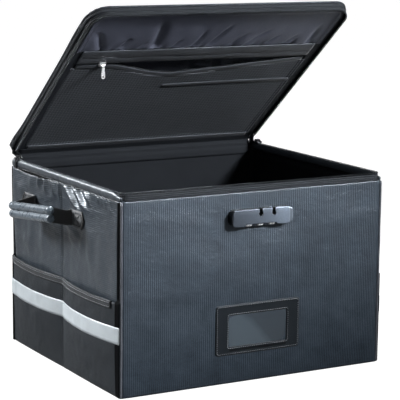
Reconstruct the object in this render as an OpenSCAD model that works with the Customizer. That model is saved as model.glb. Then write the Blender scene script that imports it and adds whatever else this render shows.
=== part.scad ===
// Record carrying case: a cloth-covered board box with a zip-round hinged lid,
// a three-dial lock on the front, carrying handles and side pockets.
// Origin: centre of the footprint on the surface it stands on. +Z up, front is -Y, left is -X.
// The lid is drawn part open, leaning over the box, turned about the top edge of the back wall.

/* [Case] */
// Width of the case, left to right
case_w = 450; // [400:1:500]
// Depth of the case, front to back
case_d = 384; // [350:1:420]
// Height of the body from the floor to the zip line
case_h = 301; // [290:1:330]
// Thickness of the outer cloth
cloth_t = 1.5; // [1:0.1:2]
// Thickness of the stiffening boards in the walls
board_t = 4; // [3:0.5:5]
// Thickness of the inner lining
lining_t = 1; // [0.8:0.1:1.5]
// Gap between the two half boards of a side wall, where the wall folds
fold_gap = 8; // [4:1:14]
// Radius of the piping sewn into the upright corners
piping_r = 2; // [1.5:0.1:2.5]

/* [Lid] */
// Angle of the lid above its closed position
lid_open = 39; // [0:1:170]
// Height of the lid above the zip line
lid_h = 20; // [18:0.5:24]
// Corner radius of the lid at the front, in plan
lid_front_r = 30; // [20:1:40]
// Corner radius of the lid at the hinge, in plan
lid_rear_r = 10; // [6:1:16]
// Thickness of the board in the lid
lid_board_t = 3; // [2:0.5:3.5]
// Width of the padded border at the sides and the hinge of the lid's inside
border_w = 17; // [14:1:22]
// Distance from the lid's free edge and sides to the gathered panel
border_top = 12; // [10:1:20]

/* [Zip] */
// Radius of one row of the zip's coil
coil_r = 1.3; // [1:0.1:1.4]
// Distance between the centres of the two rows
coil_pitch = 4; // [3.8:0.1:4.4]
// Thickness of the zip tape
tape_t = 1.2; // [0.8:0.1:1.4]
// Corner radius of the zip on the body, in plan
rim_r = 14; // [10:1:20]
// Distance from the back of the case to the rear end of the zip
zip_end = 14; // [12:1:20]
// Length of a zip slider
slider_l = 12; // [10:1:14]
// Length of a main zip pull
pull_l = 21; // [18:1:22]

/* [Lid pocket] */
// Distance from the hinge to the pocket's zip, along the lid
pocket_zip_v = 252; // [240:1:260]
// Distance from the hinge to the lower edge of the gathered panel
gather_v = 286; // [275:1:292]
// How far the open side of the pocket's zip sags towards the hinge
pocket_sag = 31; // [25:1:50]
// Place of the sag's lowest point across the lid, from the middle
pocket_sag_x = -20; // [-40:1:20]
// Place of the pocket slider across the lid, from the middle
pocket_slider_x = -160; // [-175:1:-150]
// Length of the pocket's zip pull
pocket_pull_l = 20; // [16:1:24]
// Distance between the puckers at the gathered panel's lower edge
gather_pitch = 20; // [16:1:28]
// Distance between the panel's broad soft folds
fold_pitch = 64; // [50:1:80]

/* [Lock] */
// Width of the lock
lock_w = 108; // [106:1:114]
// Height of the lock
lock_h = 25.5; // [25:0.5:28]
// How far the lock stands out from the front cloth
lock_out = 14; // [14:0.5:16]
// Place of the lock and the label across the front, from the middle
front_cx = 4; // [0:1:8]
// Height of the lock's middle above the floor
lock_z = 250.8; // [246:0.1:254]
// Radius of a number dial
dial_r = 6; // [5.6:0.1:6.2]
// Distance between the dials
dial_pitch = 19.7; // [19:0.1:20]
// Distance between the two slots that take the zip pulls
slot_pitch = 22.5; // [20:0.5:24]
// Width of the round foot of a slot
slot_w = 7.4; // [6.6:0.2:7.6]
// Width of a slot's neck, where the zip pull drops in
neck_w = 5; // [4.6:0.1:5.4]
// Travel of the release button
press = 4; // [3:0.5:4]

/* [Label holder] */
// Width of the label frame
label_w = 146; // [130:1:160]
// Height of the label frame
label_h = 77; // [70:1:85]
// Height of the frame's middle above the floor
label_z = 82; // [70:1:90]
// Width of the clear window
window_w = 101; // [90:1:110]
// Height of the clear window
window_h = 48; // [40:1:52]

/* [Side pockets and strips] */
// Height of the pockets on the side walls
pocket_h = 141; // [120:1:150]
// How far a pocket bows out between its seams
pocket_bow = 12; // [10:1:14]
// Depth of the bound hem along a pocket's top
hem_h = 11; // [8:1:14]
// Height of the reflective strip
strip_h = 25; // [20:1:30]
// Height of the strip's lower edge above the floor
strip_z = 80; // [70:1:90]

/* [Handles] */
// Height of the handles above the floor
handle_z = 241; // [235:1:250]
// Place of a handle's middle along the side, from the middle of the case
handle_y = 30; // [0:1:36]
// Half the distance between a handle's two legs
handle_half = 66; // [55:1:66]
// How far a handle stands out from the side wall
handle_out = 40; // [36:1:45]
// Radius of one of the two rolls of a grip
grip_r = 6.5; // [5.5:0.1:7]
// How much higher a grip's front end sits than its middle
grip_rise = 7; // [0:0.5:8]

/* [Hidden] */
$fn = 48;

wall_t = cloth_t + board_t + lining_t;
corner = 2 * piping_r;
board_top = case_h - 16;
back_board_top = case_h - 4;
front_cloth_top = case_h - 12;
side_cloth_top = case_h - 15;
back_top = case_h - 1.8;
tape_bottom = board_top;
row_gap = coil_pitch / 2;
hinge_gap = 0.3;
hinge_y = case_d / 2 + hinge_gap;
fold_r = 1.8;
lid_l = case_d + hinge_gap;
lid_plate = lid_h - cloth_t;
lid_lining_z = lid_plate - lid_board_t - lining_t;
skirt_z = 10;
mesh_z = 7;
mesh_t = 0.8;
mesh_x = case_w / 2 - border_w - 3;
run_clearance = 0.05;

cloth = [0.13, 0.14, 0.16];
dark = [0.06, 0.06, 0.07];
grey = [0.35, 0.37, 0.4];
board_colour = [0.45, 0.38, 0.3];

// Box between two corners
module slab(a, b) {
    translate(a)
        cube(b - a);
}

// Same thing on the right-hand side
module on_right() {
    mirror([1, 0, 0])
        children();
}

// Front-wall frame: x across, y up, z out of the front cloth, origin at height z0
module on_front(z0) {
    translate([front_cx, -case_d / 2, z0])
        rotate([90, 0, 0])
            children();
}

// Lid frame: origin on the hinge axis, -y towards the lid's free edge, z up when closed
module on_lid() {
    translate([0, hinge_y, case_h])
        rotate([-lid_open, 0, 0])
            children();
}

// Walls of the body

// Holes for the lock's four screws, along y through the front wall
screw_x = [-46, 29];
screw_dy = 7.5;
screw_r = 1.3;
module at_screws() {
    for (x = screw_x, y = [-screw_dy, screw_dy])
        translate([x, y, 0])
            children();
}

module screw_holes(r) {
    on_front(lock_z)
        at_screws()
            translate([0, 0, -2 * wall_t])
                cylinder(r = r, h = 3 * wall_t);
}

module front_cover() {
    color(cloth)
        difference() {
            slab([corner - case_w / 2, -case_d / 2, 0], [case_w / 2 - corner, cloth_t - case_d / 2, front_cloth_top]);
            screw_holes(screw_r);
        }
}

module back_cover() {
    color(cloth)
        slab([corner - case_w / 2, case_d / 2 - cloth_t, 0], [case_w / 2 - corner, case_d / 2, back_top]);
}

module left_cover() {
    color(cloth)
        slab([-case_w / 2, corner - case_d / 2, 0], [cloth_t - case_w / 2, case_d / 2 - corner, side_cloth_top]);
}

module base_cover() {
    color(cloth)
        union() {
            slab([corner - case_w / 2, cloth_t - case_d / 2, 0], [case_w / 2 - corner, case_d / 2 - cloth_t, cloth_t]);
            slab([cloth_t - case_w / 2, corner - case_d / 2, 0], [case_w / 2 - cloth_t, case_d / 2 - corner, cloth_t]);
        }
}

module corner_piping() {
    color(dark)
        for (x = [-1, 1], y = [-1, 1])
            translate([x * (case_w / 2 - piping_r), y * (case_d / 2 - piping_r), 0])
                cylinder(r = piping_r, h = side_cloth_top);
}

module front_board() {
    color(board_colour)
        difference() {
            slab([corner - case_w / 2, cloth_t - case_d / 2, cloth_t],
                 [case_w / 2 - corner, cloth_t + board_t - case_d / 2, board_top]);
            screw_holes(screw_r);
        }
}

module back_board() {
    color(board_colour)
        slab([corner - case_w / 2, case_d / 2 - cloth_t - board_t, cloth_t],
             [case_w / 2 - corner, case_d / 2 - cloth_t, back_board_top]);
}

// Half board of the left wall; side is -1 for the front half and 1 for the rear half
module left_half_board(side) {
    near = fold_gap / 2;
    far = case_d / 2 - cloth_t - board_t;
    y0 = side < 0 ? -far : near;
    y1 = side < 0 ? -near : far;
    color(board_colour)
        slab([cloth_t - case_w / 2, y0, cloth_t], [cloth_t + board_t - case_w / 2, y1, board_top]);
}

// Lining of the walls, folded over the tops of the boards as far as the zip tape
module wall_lining() {
    outer = cloth_t + board_t;
    lap = cloth_t + tape_t;
    color(dark)
        difference() {
            union() {
                slab([outer - case_w / 2, outer - case_d / 2, cloth_t],
                     [case_w / 2 - outer, case_d / 2 - outer, board_top + lining_t]);
                slab([lap - case_w / 2, rim_r - case_d / 2, board_top],
                     [case_w / 2 - lap, case_d / 2 - zip_end, board_top + lining_t]);
                slab([rim_r - case_w / 2, lap - case_d / 2, board_top],
                     [case_w / 2 - rim_r, 0, board_top + lining_t]);
                slab([outer - case_w / 2, case_d / 2 - outer - lining_t, cloth_t],
                     [case_w / 2 - outer, case_d / 2 - outer, back_board_top]);
            }
            slab([wall_t - case_w / 2, wall_t - case_d / 2, 0], [case_w / 2 - wall_t, case_d / 2 - wall_t, case_h]);
            screw_holes(screw_r);
        }
}

// Half-round rolled edge along the top of each side wall
module side_binding() {
    roll_r = 4;
    color(grey)
        for (side = [0, 1])
            mirror([side, 0, 0])
                translate([cloth_t - case_w / 2, case_d / 2 - corner, side_cloth_top + roll_r])
                    rotate([90, 0, 0])
                        linear_extrude(case_d - 2 * corner)
                            intersection() {
                                circle(roll_r);
                                translate([-2 * roll_r, -roll_r])
                                    square(2 * roll_r);
                            }
}

// Plan outline of the body's zip, moved in from the outer faces, open at the back
module rim_plan(inset) {
    r = rim_r - inset;
    hx = case_w / 2 - inset;
    y0 = inset - case_d / 2;
    y1 = case_d / 2 - zip_end;
    union() {
        translate([-hx, y0 + r])
            square([2 * hx, y1 - y0 - r]);
        translate([r - hx, y0])
            square([2 * (hx - r), y1 - y0]);
        for (x = [-1, 1])
            translate([x * (hx - r), y0 + r])
                circle(r);
    }
}

module rim_ring(inset, thick) {
    difference() {
        rim_plan(inset);
        rim_plan(inset + thick);
        translate([inset + thick - case_w / 2, 0])
            square([case_w - 2 * (inset + thick), case_d]);
    }
}

module body_zip_tape() {
    color(dark)
        translate([0, 0, tape_bottom])
            linear_extrude(case_h - row_gap - coil_r - tape_bottom)
                rim_ring(cloth_t, tape_t);
}

// Round bead along a U of half width hx, from y1 forward to y0, with rounded front corners
module u_bead(hx, y0, y1, r, bead) {
    for (x = [-1, 1]) {
        translate([x * hx, y0 + r, 0])
            rotate([-90, 0, 0])
                cylinder(r = bead, h = y1 - y0 - r);
        translate([x * (hx - r), y0 + r, 0])
            rotate([0, 0, x < 0 ? 180 : 270])
                rotate_extrude(angle = 90)
                    translate([r, 0])
                        circle(bead);
    }
    translate([r - hx, y0, 0])
        rotate([0, 90, 0])
            cylinder(r = bead, h = 2 * (hx - r));
}

module body_zip_coil() {
    mid = cloth_t + tape_t / 2;
    color(grey)
        translate([0, 0, case_h - row_gap])
            u_bead(case_w / 2 - mid, mid - case_d / 2, case_d / 2 - zip_end, rim_r - mid, coil_r);
}

// Rolled fold of cloth on the hinge axis
module hinge_fold() {
    color(cloth)
        translate([lid_rear_r - case_w / 2, hinge_y, case_h])
            rotate([0, 90, 0])
                cylinder(r = fold_r, h = case_w - 2 * lid_rear_r);
}

// Lock: drawn in the front-wall frame, x across from the lock's middle
lock_wall = 1.7;
end_x = lock_w / 2;
mouth_x = end_x - 9;
dial_y = dial_r - 1 - lock_h / 2;
dial_z = lock_out - lock_wall - dial_r - 0.1;
dial_w = 8;
dial_mid = -3.5;
slot_mid = 6.4;
slot_depth = 11;
bar_y = 0.7;
bar_h = 3;
spring_y = 0.7;
spring_z = 8.5;
rib_x = 23.5;
rib_t = 2;
shaft_r = 2;
shaft_x = -33;

// Upright profile of the lock seen from the front, less an inset
module lock_profile(x0, x1, inset) {
    r = 10 - inset;
    h = lock_h - 2 * inset;
    union() {
        translate([x0 + r, -h / 2])
            square([x1 - x0 - 2 * r, h]);
        translate([x0, r - h / 2])
            square([x1 - x0, h - 2 * r]);
        for (x = [x0 + r, x1 - r], y = [r - h / 2, h / 2 - r])
            translate([x, y])
                circle(r);
    }
}

// Gentle crown of the lock's face, as a long cylinder along x
module crown(out) {
    crown_r = 60;
    translate([-lock_w, 0, out - crown_r])
        rotate([0, 90, 0])
            cylinder(r = crown_r, h = 2 * lock_w, $fn = 96);
}

// Slot with a round foot and a narrower neck, open at the lock's top edge
module keyhole(x) {
    foot_y = lock_h / 2 - slot_depth + slot_w / 2;
    translate([x, foot_y, 4])
        cylinder(r = slot_w / 2, h = lock_out);
    slab([x - neck_w / 2, foot_y, 4], [x + neck_w / 2, lock_h, 2 * lock_out]);
}

// Shallow cut along the lower front edge, where the three dials show
module dial_cutout() {
    r = 3;
    half = dial_pitch + dial_w / 2 + 3.5;
    rise = 3.4;
    translate([dial_mid, -lock_h / 2, lock_out - lock_wall - 4])
        linear_extrude(2 * lock_wall + 4)
            union() {
                translate([-half, -r])
                    square([2 * half, rise]);
                translate([r - half, -r])
                    square([2 * (half - r), rise + r]);
                for (x = [r - half, half - r])
                    translate([x, rise - r])
                        circle(r);
            }
}

// Section across the lock, y up and z out, with rounded front edges, less an inset
module lock_section(inset) {
    r = 3;
    h = lock_h / 2 - inset;
    z1 = lock_out - inset;
    translate([-lock_w, 0, 0])
        rotate([90, 0, 90])
            linear_extrude(2 * lock_w)
                union() {
                    translate([-h, -1])
                        square([2 * h, z1 - r + 1]);
                    translate([r - h, 0])
                        square([2 * (h - r), z1]);
                    for (y = [r - h, h - r])
                        translate([y, z1 - r])
                            circle(r);
                }
}

// Plan of the lock, x across and z out, with rounded ends, less an inset
module lock_top_plan(x1, inset) {
    r = 4;
    z1 = lock_out - inset;
    translate([0, lock_h, 0])
        rotate([90, 0, 0])
            linear_extrude(2 * lock_h)
                union() {
                    translate([-end_x, -1])
                        square([x1 + end_x, z1 - r + 1]);
                    translate([r - end_x, -1])
                        square([x1 + end_x - 2 * r, z1 + 1]);
                    for (x = [r - end_x, x1 - r])
                        translate([x, z1 - r])
                            circle(r);
                }
}

module lock_housing() {
    cavity_y = lock_h / 2 - lock_wall;
    color(dark)
        on_front(lock_z)
            difference() {
                union() {
                    difference() {
                        intersection() {
                            linear_extrude(lock_out)
                                lock_profile(-end_x, end_x, 0);
                            lock_section(0);
                            lock_top_plan(end_x, 0);
                            crown(lock_out);
                            slab([-end_x, -lock_h, 0], [mouth_x, lock_h, lock_out]);
                        }
                        translate([0, 0, -1])
                            linear_extrude(lock_out - lock_wall + 1)
                                lock_profile(lock_wall - end_x, lock_w, lock_wall);
                    }
                    for (x = [-rib_x - rib_t - 5, rib_x])
                        slab([x, -cavity_y - 0.2, 0], [x + rib_t, dial_y + 6, lock_out - lock_wall + 0.2]);
                    slab([rib_x, dial_y, 5], [rib_x + rib_t, spring_y + 3, lock_out - lock_wall + 0.2]);
                    at_screws()
                        cylinder(r = 2.6, h = lock_out - lock_wall + 0.2);
                }
                at_screws()
                    translate([0, 0, -1])
                        cylinder(r = screw_r, h = 9);
                for (n = [-1 : 1])
                    translate([dial_mid + n * dial_pitch, 0, 0])
                        slab([-dial_w / 2 - 0.5, -lock_h, 1], [dial_w / 2 + 0.5, dial_y, lock_out - lock_wall]);
                for (s = [-0.5, 0.5])
                    keyhole(slot_mid + s * slot_pitch);
                dial_cutout();
                translate([shaft_x, dial_y, dial_z])
                    rotate([0, 90, 0])
                        cylinder(r = shaft_r, h = rib_x + rib_t + 1 - shaft_x);
                translate([rib_x - 1, spring_y, spring_z])
                    rotate([0, 90, 0])
                        cylinder(r = 1.3, h = 2 * rib_t);
            }
}

module dial_shaft() {
    color("silver")
        on_front(lock_z)
            translate([shaft_x, dial_y, dial_z])
                rotate([0, 90, 0])
                    cylinder(r = shaft_r, h = rib_x + rib_t - shaft_x);
}

// Number dial with ten finger notches round its edge
module dial(n) {
    color("gainsboro")
        on_front(lock_z)
            translate([dial_mid + (n - 2) * dial_pitch - dial_w / 2, dial_y, dial_z])
                rotate([0, 90, 0])
                    difference() {
                        cylinder(r = dial_r, h = dial_w);
                        translate([0, 0, -1])
                            cylinder(r = shaft_r + run_clearance, h = dial_w + 2);
                        for (k = [0 : 9])
                            rotate([0, 0, 36 * k])
                                translate([dial_r + 0.5, 0, -1])
                                    cylinder(r = 0.9, h = dial_w + 2, $fn = 16);
                    }
}

module release_button() {
    gap = 0.3;
    inset = lock_wall + gap;
    color(grey)
        on_front(lock_z)
            union() {
                intersection() {
                    translate([0, 0, 0.5])
                        linear_extrude(lock_out - inset - 0.5)
                            lock_profile(end_x - 36, end_x, inset);
                    lock_section(inset);
                    lock_top_plan(end_x, inset);
                    crown(lock_out - inset);
                    slab([end_x - 18, -lock_h, 0], [end_x, lock_h, lock_out]);
                }
                translate([rib_x + rib_t + 3, spring_y, spring_z])
                    rotate([0, 90, 0])
                        cylinder(r = 1, h = end_x - 18 - rib_x - rib_t - 2);
            }
}

// Bar that joins the button to the two hooks behind the slots
module latch_bar() {
    left = slot_mid - slot_pitch / 2 - 6;
    color("silver")
        on_front(lock_z)
            union() {
                slab([left, bar_y, 1.2], [end_x - 18, bar_y + bar_h, 3.6]);
                for (s = [-0.5, 0.5])
                    translate([slot_mid + s * slot_pitch, 0, 0]) {
                        slab([-6, bar_y, 1.2], [-3, bar_y + 8, 3.6]);
                        slab([-6, bar_y + 6, 1.2], [2.5, bar_y + 8, 3.6]);
                    }
            }
}

module latch_spring() {
    color("silver")
        on_front(lock_z)
            translate([rib_x + rib_t, spring_y, spring_z])
                rotate([0, 90, 0])
                    difference() {
                        cylinder(r = 2.3, h = end_x - 18 - press - rib_x - rib_t - 0.3);
                        translate([0, 0, -1])
                            cylinder(r = 1.5, h = 20);
                    }
}

module lock_backplate() {
    color("dimgray")
        on_front(lock_z)
            difference() {
                translate([0, 0, -wall_t - 1.5])
                    linear_extrude(1.5)
                        lock_profile(-end_x, end_x, 1);
                at_screws()
                    translate([0, 0, -wall_t - 3])
                        cylinder(r = screw_r, h = 5);
            }
}

module lock_screws() {
    head_z = -wall_t - 1.5;
    color("silver")
        on_front(lock_z)
            at_screws()
                difference() {
                    union() {
                        translate([0, 0, head_z])
                            cylinder(r = screw_r, h = 8 - head_z);
                        translate([0, 0, head_z - 1.6])
                            cylinder(r = 2.8, h = 1.6);
                    }
                    for (a = [0, 90])
                        rotate([0, 0, a])
                            slab([-1.8, -0.35, head_z - 2], [1.8, 0.35, head_z - 0.8]);
                }
}

// Label holder
film_t = 0.5;
film_lap = 3;
frame_t = 1.6;

module round_plate(w, h, r) {
    union() {
        square([w - 2 * r, h], center = true);
        square([w, h - 2 * r], center = true);
        for (x = [-1, 1], y = [-1, 1])
            translate([x * (w / 2 - r), y * (h / 2 - r)])
                circle(r);
    }
}

module label_frame() {
    color(cloth)
        on_front(label_z)
            difference() {
                linear_extrude(frame_t)
                    round_plate(label_w, label_h, 5);
                translate([0, -2, -1])
                    linear_extrude(frame_t + 2)
                        round_plate(window_w, window_h, 2);
                translate([-window_w / 2 - film_lap, -2 - window_h / 2 - film_lap, -1])
                    cube([window_w + 2 * film_lap, window_h + 2 * film_lap, 1 + film_t]);
            }
}

module label_window() {
    color([0.6, 0.65, 0.7, 0.5])
        on_front(label_z)
            translate([-window_w / 2 - film_lap, -2 - window_h / 2 - film_lap, 0])
                cube([window_w + 2 * film_lap, window_h + 2 * film_lap, film_t]);
}

// Side pockets: two bowed compartments, sewn down at the corners and at the fold
pocket_half = case_d / 4 - 1;
bow_r = (pocket_half * pocket_half + pocket_bow * pocket_bow) / (2 * pocket_bow);

// Plan of one bowed cloth layer over both compartments, from depth d0 to d1 inside the pocket's face
module bow_plan(d0, d1) {
    for (y = [-1, 1])
        intersection() {
            difference() {
                translate([bow_r - pocket_bow - case_w / 2, y * case_d / 4])
                    circle(bow_r - d0, $fn = 180);
                translate([bow_r - pocket_bow - case_w / 2, y * case_d / 4])
                    circle(bow_r - d1, $fn = 180);
            }
            translate([-case_w / 2 - 2 * pocket_bow, y * case_d / 4 - pocket_half])
                square([2 * pocket_bow, 2 * pocket_half]);
        }
}

module left_pocket() {
    color(cloth)
        union() {
            linear_extrude(pocket_h - 1)
                bow_plan(0, cloth_t);
            linear_extrude(cloth_t)
                bow_plan(cloth_t / 2, 3 * pocket_bow);
        }
}

module left_pocket_hem() {
    color(grey)
        difference() {
            translate([0, 0, pocket_h - hem_h])
                linear_extrude(hem_h)
                    bow_plan(-1, cloth_t + 0.8);
            linear_extrude(pocket_h - 1)
                bow_plan(0, cloth_t);
        }
}

module left_reflective_strip() {
    color("lightsteelblue")
        translate([0, 0, strip_z])
            linear_extrude(strip_h)
                bow_plan(-0.6, 0);
}

// Handles: local frame at the swing axis, x out of the left wall, y along the case, z up
axis_out = 3.6;
bar_r = 1.4;
strap_t = 2.4;
patch_t = 2.5;
patch_l = 40;
patch_w = 27;

module on_left_handle() {
    translate([-case_w / 2, handle_y, handle_z])
        mirror([1, 0, 0])
            children();
}

module left_handle_anchors() {
    inner = handle_half + 3;
    color(cloth)
        on_left_handle()
            for (side = [-1, 1])
                scale([1, side, 1]) {
                    translate([0, inner, 0])
                        rotate([90, 0, 90])
                            linear_extrude(patch_t)
                                polygon([[0, -patch_w / 2], [patch_l - 8, -patch_w / 2], [patch_l, 0],
                                         [patch_l - 8, patch_w / 2], [0, patch_w / 2]]);
                    slab([patch_t, inner, -3], [axis_out + 2, inner + 4, 3]);
                    translate([axis_out, inner + 1, 0])
                        rotate([90, 0, 0])
                            cylinder(r = bar_r, h = 7);
                }
}

// Tilted frame of the grip, about its middle
module on_grip() {
    translate([handle_out, 0, 0])
        rotate([-atan(grip_rise / handle_half), 0, 0])
            children();
}

module left_handle_strap() {
    eye_r = 3;
    eye_l = 5;
    grip_x = handle_out - grip_r;
    function rise(x) = grip_rise * (x - 12) / (handle_out - 12);
    color(dark)
        on_left_handle()
            difference() {
                union() {
                    for (side = [-1, 1])
                        scale([1, side, 1]) {
                            translate([0, handle_half + strap_t / 2, 0])
                                rotate([90, 0, 0])
                                    linear_extrude(strap_t)
                                        scale([1, -side])
                                            polygon([[axis_out, -3], [12, -3], [22, rise(22) - 12],
                                                     [grip_x, rise(grip_x) - 12], [grip_x, rise(grip_x) - 5],
                                                     [handle_out, grip_rise - 5], [handle_out, grip_rise + 5],
                                                     [grip_x, rise(grip_x) + 5], [grip_x, rise(grip_x) + 12],
                                                     [22, rise(22) + 12], [12, 3], [axis_out, 3]]);
                            translate([axis_out, handle_half + eye_l / 2, 0])
                                rotate([90, 0, 0])
                                    cylinder(r = eye_r, h = eye_l);
                        }
                    on_grip()
                        slab([-strap_t / 2, -handle_half - strap_t / 2, -5], [strap_t / 2, handle_half + strap_t / 2, 5]);
                }
                for (side = [-1, 1])
                    translate([axis_out, side * handle_half + eye_l, 0])
                        rotate([90, 0, 0])
                            cylinder(r = bar_r + run_clearance, h = 2 * eye_l);
            }
}

// Grip: two soft rolls side by side, closed round the strap
module left_grip() {
    half = handle_half + 2;
    color(grey)
        difference() {
            on_left_handle()
                on_grip()
                    union()
                        for (z = [-0.95, 0.95] * grip_r) {
                            translate([0, half, z])
                                rotate([90, 0, 0])
                                    cylinder(r = grip_r, h = 2 * half);
                            for (side = [-1, 1])
                                translate([0, side * half, z])
                                    scale([1, 0.5, 1])
                                        sphere(grip_r);
                        }
            left_handle_strap();
        }
}

// Loose board in the bottom of the case, with rounded corners
module base_board() {
    gap = 1.5;
    hx = case_w / 2 - wall_t - gap;
    hy = case_d / 2 - wall_t - gap - 3;
    color(dark)
        translate([0, 0, cloth_t])
            linear_extrude(board_t)
                round_plate(2 * hx, 2 * hy, 8);
}

// Zip sliders

// Slider in its own frame: x along the chain, y across it, z out of the cloth, chain centre at z = 0
module slider_body() {
    channel = coil_r + 0.3;
    plate = 1.2;
    half_w = 5;
    ear_z = channel + plate + 2;
    difference() {
        union() {
            for (z = [channel, -channel - plate])
                translate([0, 0, z])
                    linear_extrude(plate)
                        intersection() {
                            round_plate(slider_l, 2 * half_w, 2.5);
                            circle(slider_l / 2 + 0.4);
                        }
            slab([slider_l / 2 - 4, -0.35, -channel], [slider_l / 2 - 1, 0.35, channel]);
            for (x = [-4.4, 3.2])
                slab([x, -1.6, channel + plate - 0.1], [x + 1.2, 1.6, ear_z + 1.4]);
            translate([-4.4, 0, ear_z])
                rotate([0, 90, 0])
                    cylinder(r = 0.9, h = 8.8);
        }
    }
}

// Pull tab in the slider's frame, hanging towards -y from the bail pin
module slider_pull(length, wide) {
    channel = coil_r + 0.3;
    plate = 1.2;
    ear_z = channel + plate + 2;
    tab_t = 1.6;
    difference() {
        union() {
            translate([-2.8, 0, ear_z])
                rotate([0, 90, 0])
                    cylinder(r = 1.9, h = 5.6);
            translate([0, 0, ear_z + 0.1])
                linear_extrude(tab_t)
                    union() {
                        translate([-2.2, -length / 2])
                            square([4.4, length / 2]);
                        translate([0, wide / 2 - length])
                            circle(wide / 2);
                        translate([-wide / 2, wide / 2 - length])
                            square([wide, length / 2 - wide / 2]);
                    }
        }
        translate([-5, 0, ear_z])
            rotate([0, 90, 0])
                cylinder(r = 0.9 + run_clearance, h = 10);
        translate([0, wide / 2 - length, 0])
            cylinder(r = wide / 4, h = 20);
    }
}

// Chain frame of the left rim at the slider: x forward along the case, y up, z out of the left wall
module on_left_rim() {
    translate([cloth_t + tape_t / 2 - case_w / 2, case_d / 2 - zip_end - slider_l / 2, case_h])
        rotate([90, 0, -90])
            children();
}

module left_zip_slider() {
    color("silver")
        on_left_rim()
            slider_body();
}

module left_zip_pull() {
    color("silver")
        on_left_rim()
            slider_pull(pull_l, 8);
}

// Lid

// Plan outline of the lid, moved in from its edges
module lid_plan(inset) {
    hx = case_w / 2 - inset;
    y0 = inset - lid_l;
    y1 = -inset;
    rf = lid_front_r - inset;
    rr = max(lid_rear_r - inset, 1);
    union() {
        translate([-hx, y0 + rf])
            square([2 * hx, y1 - rr - y0 - rf]);
        translate([rf - hx, y0])
            square([2 * (hx - rf), rf + 1]);
        translate([rr - hx, y1 - rr - 1])
            square([2 * (hx - rr), rr + 1]);
        for (x = [-1, 1]) {
            translate([x * (hx - rf), y0 + rf])
                circle(rf);
            translate([x * (hx - rr), y1 - rr])
                circle(rr);
        }
    }
}

module lid_cover() {
    edge = 5;
    color(cloth)
        on_lid()
            difference() {
                union() {
                    hull() {
                        linear_extrude(lid_h - edge)
                            lid_plan(0);
                        linear_extrude(lid_h - 0.25 * edge)
                            lid_plan(0.1 * edge);
                        linear_extrude(lid_h)
                            lid_plan(edge);
                    }
                }
                translate([0, 0, -1])
                    linear_extrude(lid_plate + 1)
                        lid_plan(cloth_t);
                slab([-case_w, -2 * lid_l, -1], [case_w, -lid_rear_r, skirt_z]);
                slab([-case_w, -2 * lid_l, -1], [case_w, 10, fold_r + hinge_gap]);
                for (x = [-1, 1])
                    slab([x * case_w / 2 - lid_rear_r, -lid_rear_r - 1, -1],
                         [x * case_w / 2 + lid_rear_r, 10, skirt_z]);
            }
}

module lid_board() {
    color(board_colour)
        on_lid()
            translate([0, 0, lid_plate - lid_board_t])
                linear_extrude(lid_board_t)
                    lid_plan(cloth_t + 1.5);
}

module lid_lining() {
    color(dark)
        on_lid()
            translate([0, 0, lid_lining_z])
                linear_extrude(lining_t)
                    lid_plan(cloth_t);
}

module lid_border() {
    inner = border_w + 3;
    color(dark)
        on_lid()
            translate([0, 0, mesh_z])
                linear_extrude(lid_lining_z - mesh_z)
                    difference() {
                        lid_plan(3.2);
                        translate([-mesh_x, -gather_v - 1])
                            square([2 * mesh_x, gather_v + 1 - inner]);
                        translate([-gather_half, border_top - lid_l])
                            square([2 * gather_half, lid_l - border_top - gather_v]);
                    }
}

// Gathered panel: puckers at its elastic lower edge run out into broad soft folds
gather_nx = 96;
gather_nv = 6;
gather_half = case_w / 2 - border_top - 2;
gather_depth = lid_l - border_top - gather_v;
function gather_x(i) = (2 * i / gather_nx - 1) * gather_half;
function gather_y(j) = -gather_v - gather_depth * j / gather_nv;
function gather_pucker(x) = sin(360 * x / gather_pitch + 50 * sin(1.9 * x)) * (1 + 0.3 * sin(3.1 * x));
function gather_swell(x, t) = sin(360 * x / fold_pitch + 70 * sin(1.3 * x) + 60 * t) * sin(180 * min(1, 0.15 + t));
function gather_z(i, j) = let (x = gather_x(i), t = j / gather_nv, calm = sin(90 * min(1, (gather_half - abs(x)) / 12)))
    mesh_z + 2.8 + t + calm * (1.4 * pow(1 - t, 3) * gather_pucker(x) + 1.7 * gather_swell(x, t));
function gather_id(i, j) = j * (gather_nx + 1) + i;

module lid_gather() {
    nx = gather_nx;
    nv = gather_nv;
    top = (nx + 1) * (nv + 1);
    front = [for (j = [0 : nv]) for (i = [0 : nx]) [gather_x(i), gather_y(j), gather_z(i, j)]];
    back = [for (j = [0, nv]) for (i = [0 : nx]) [gather_x(i), gather_y(j), lid_lining_z]];
    skin = [for (j = [0 : nv - 1]) for (i = [0 : nx - 1]) each
        [[gather_id(i, j), gather_id(i, j + 1), gather_id(i + 1, j)],
         [gather_id(i + 1, j), gather_id(i, j + 1), gather_id(i + 1, j + 1)]]];
    low = [for (i = [0 : nx - 1]) each
        [[gather_id(i, 0), gather_id(i + 1, 0), top + i], [gather_id(i + 1, 0), top + i + 1, top + i]]];
    high = [for (i = [0 : nx - 1]) let (a = gather_id(i, nv), b = top + nx + 1 + i) each
        [[a, b, a + 1], [a + 1, b, b + 1]]];
    rear = [for (i = [0 : nx - 1]) let (a = top + i, b = a + nx + 1) each [[a, a + 1, b], [a + 1, b + 1, b]]];
    left = [for (j = [0 : nv - 1]) each [[gather_id(0, j), top, gather_id(0, j + 1)]]];
    right = [for (j = [0 : nv - 1]) each [[gather_id(nx, j), gather_id(nx, j + 1), top + nx]]];
    ends = [[gather_id(0, nv), top, top + nx + 1], [gather_id(nx, nv), top + 2 * nx + 1, top + nx]];
    color(cloth)
        on_lid()
            polyhedron(concat(front, back), concat(skin, low, high, rear, left, right, ends));
}

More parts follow.
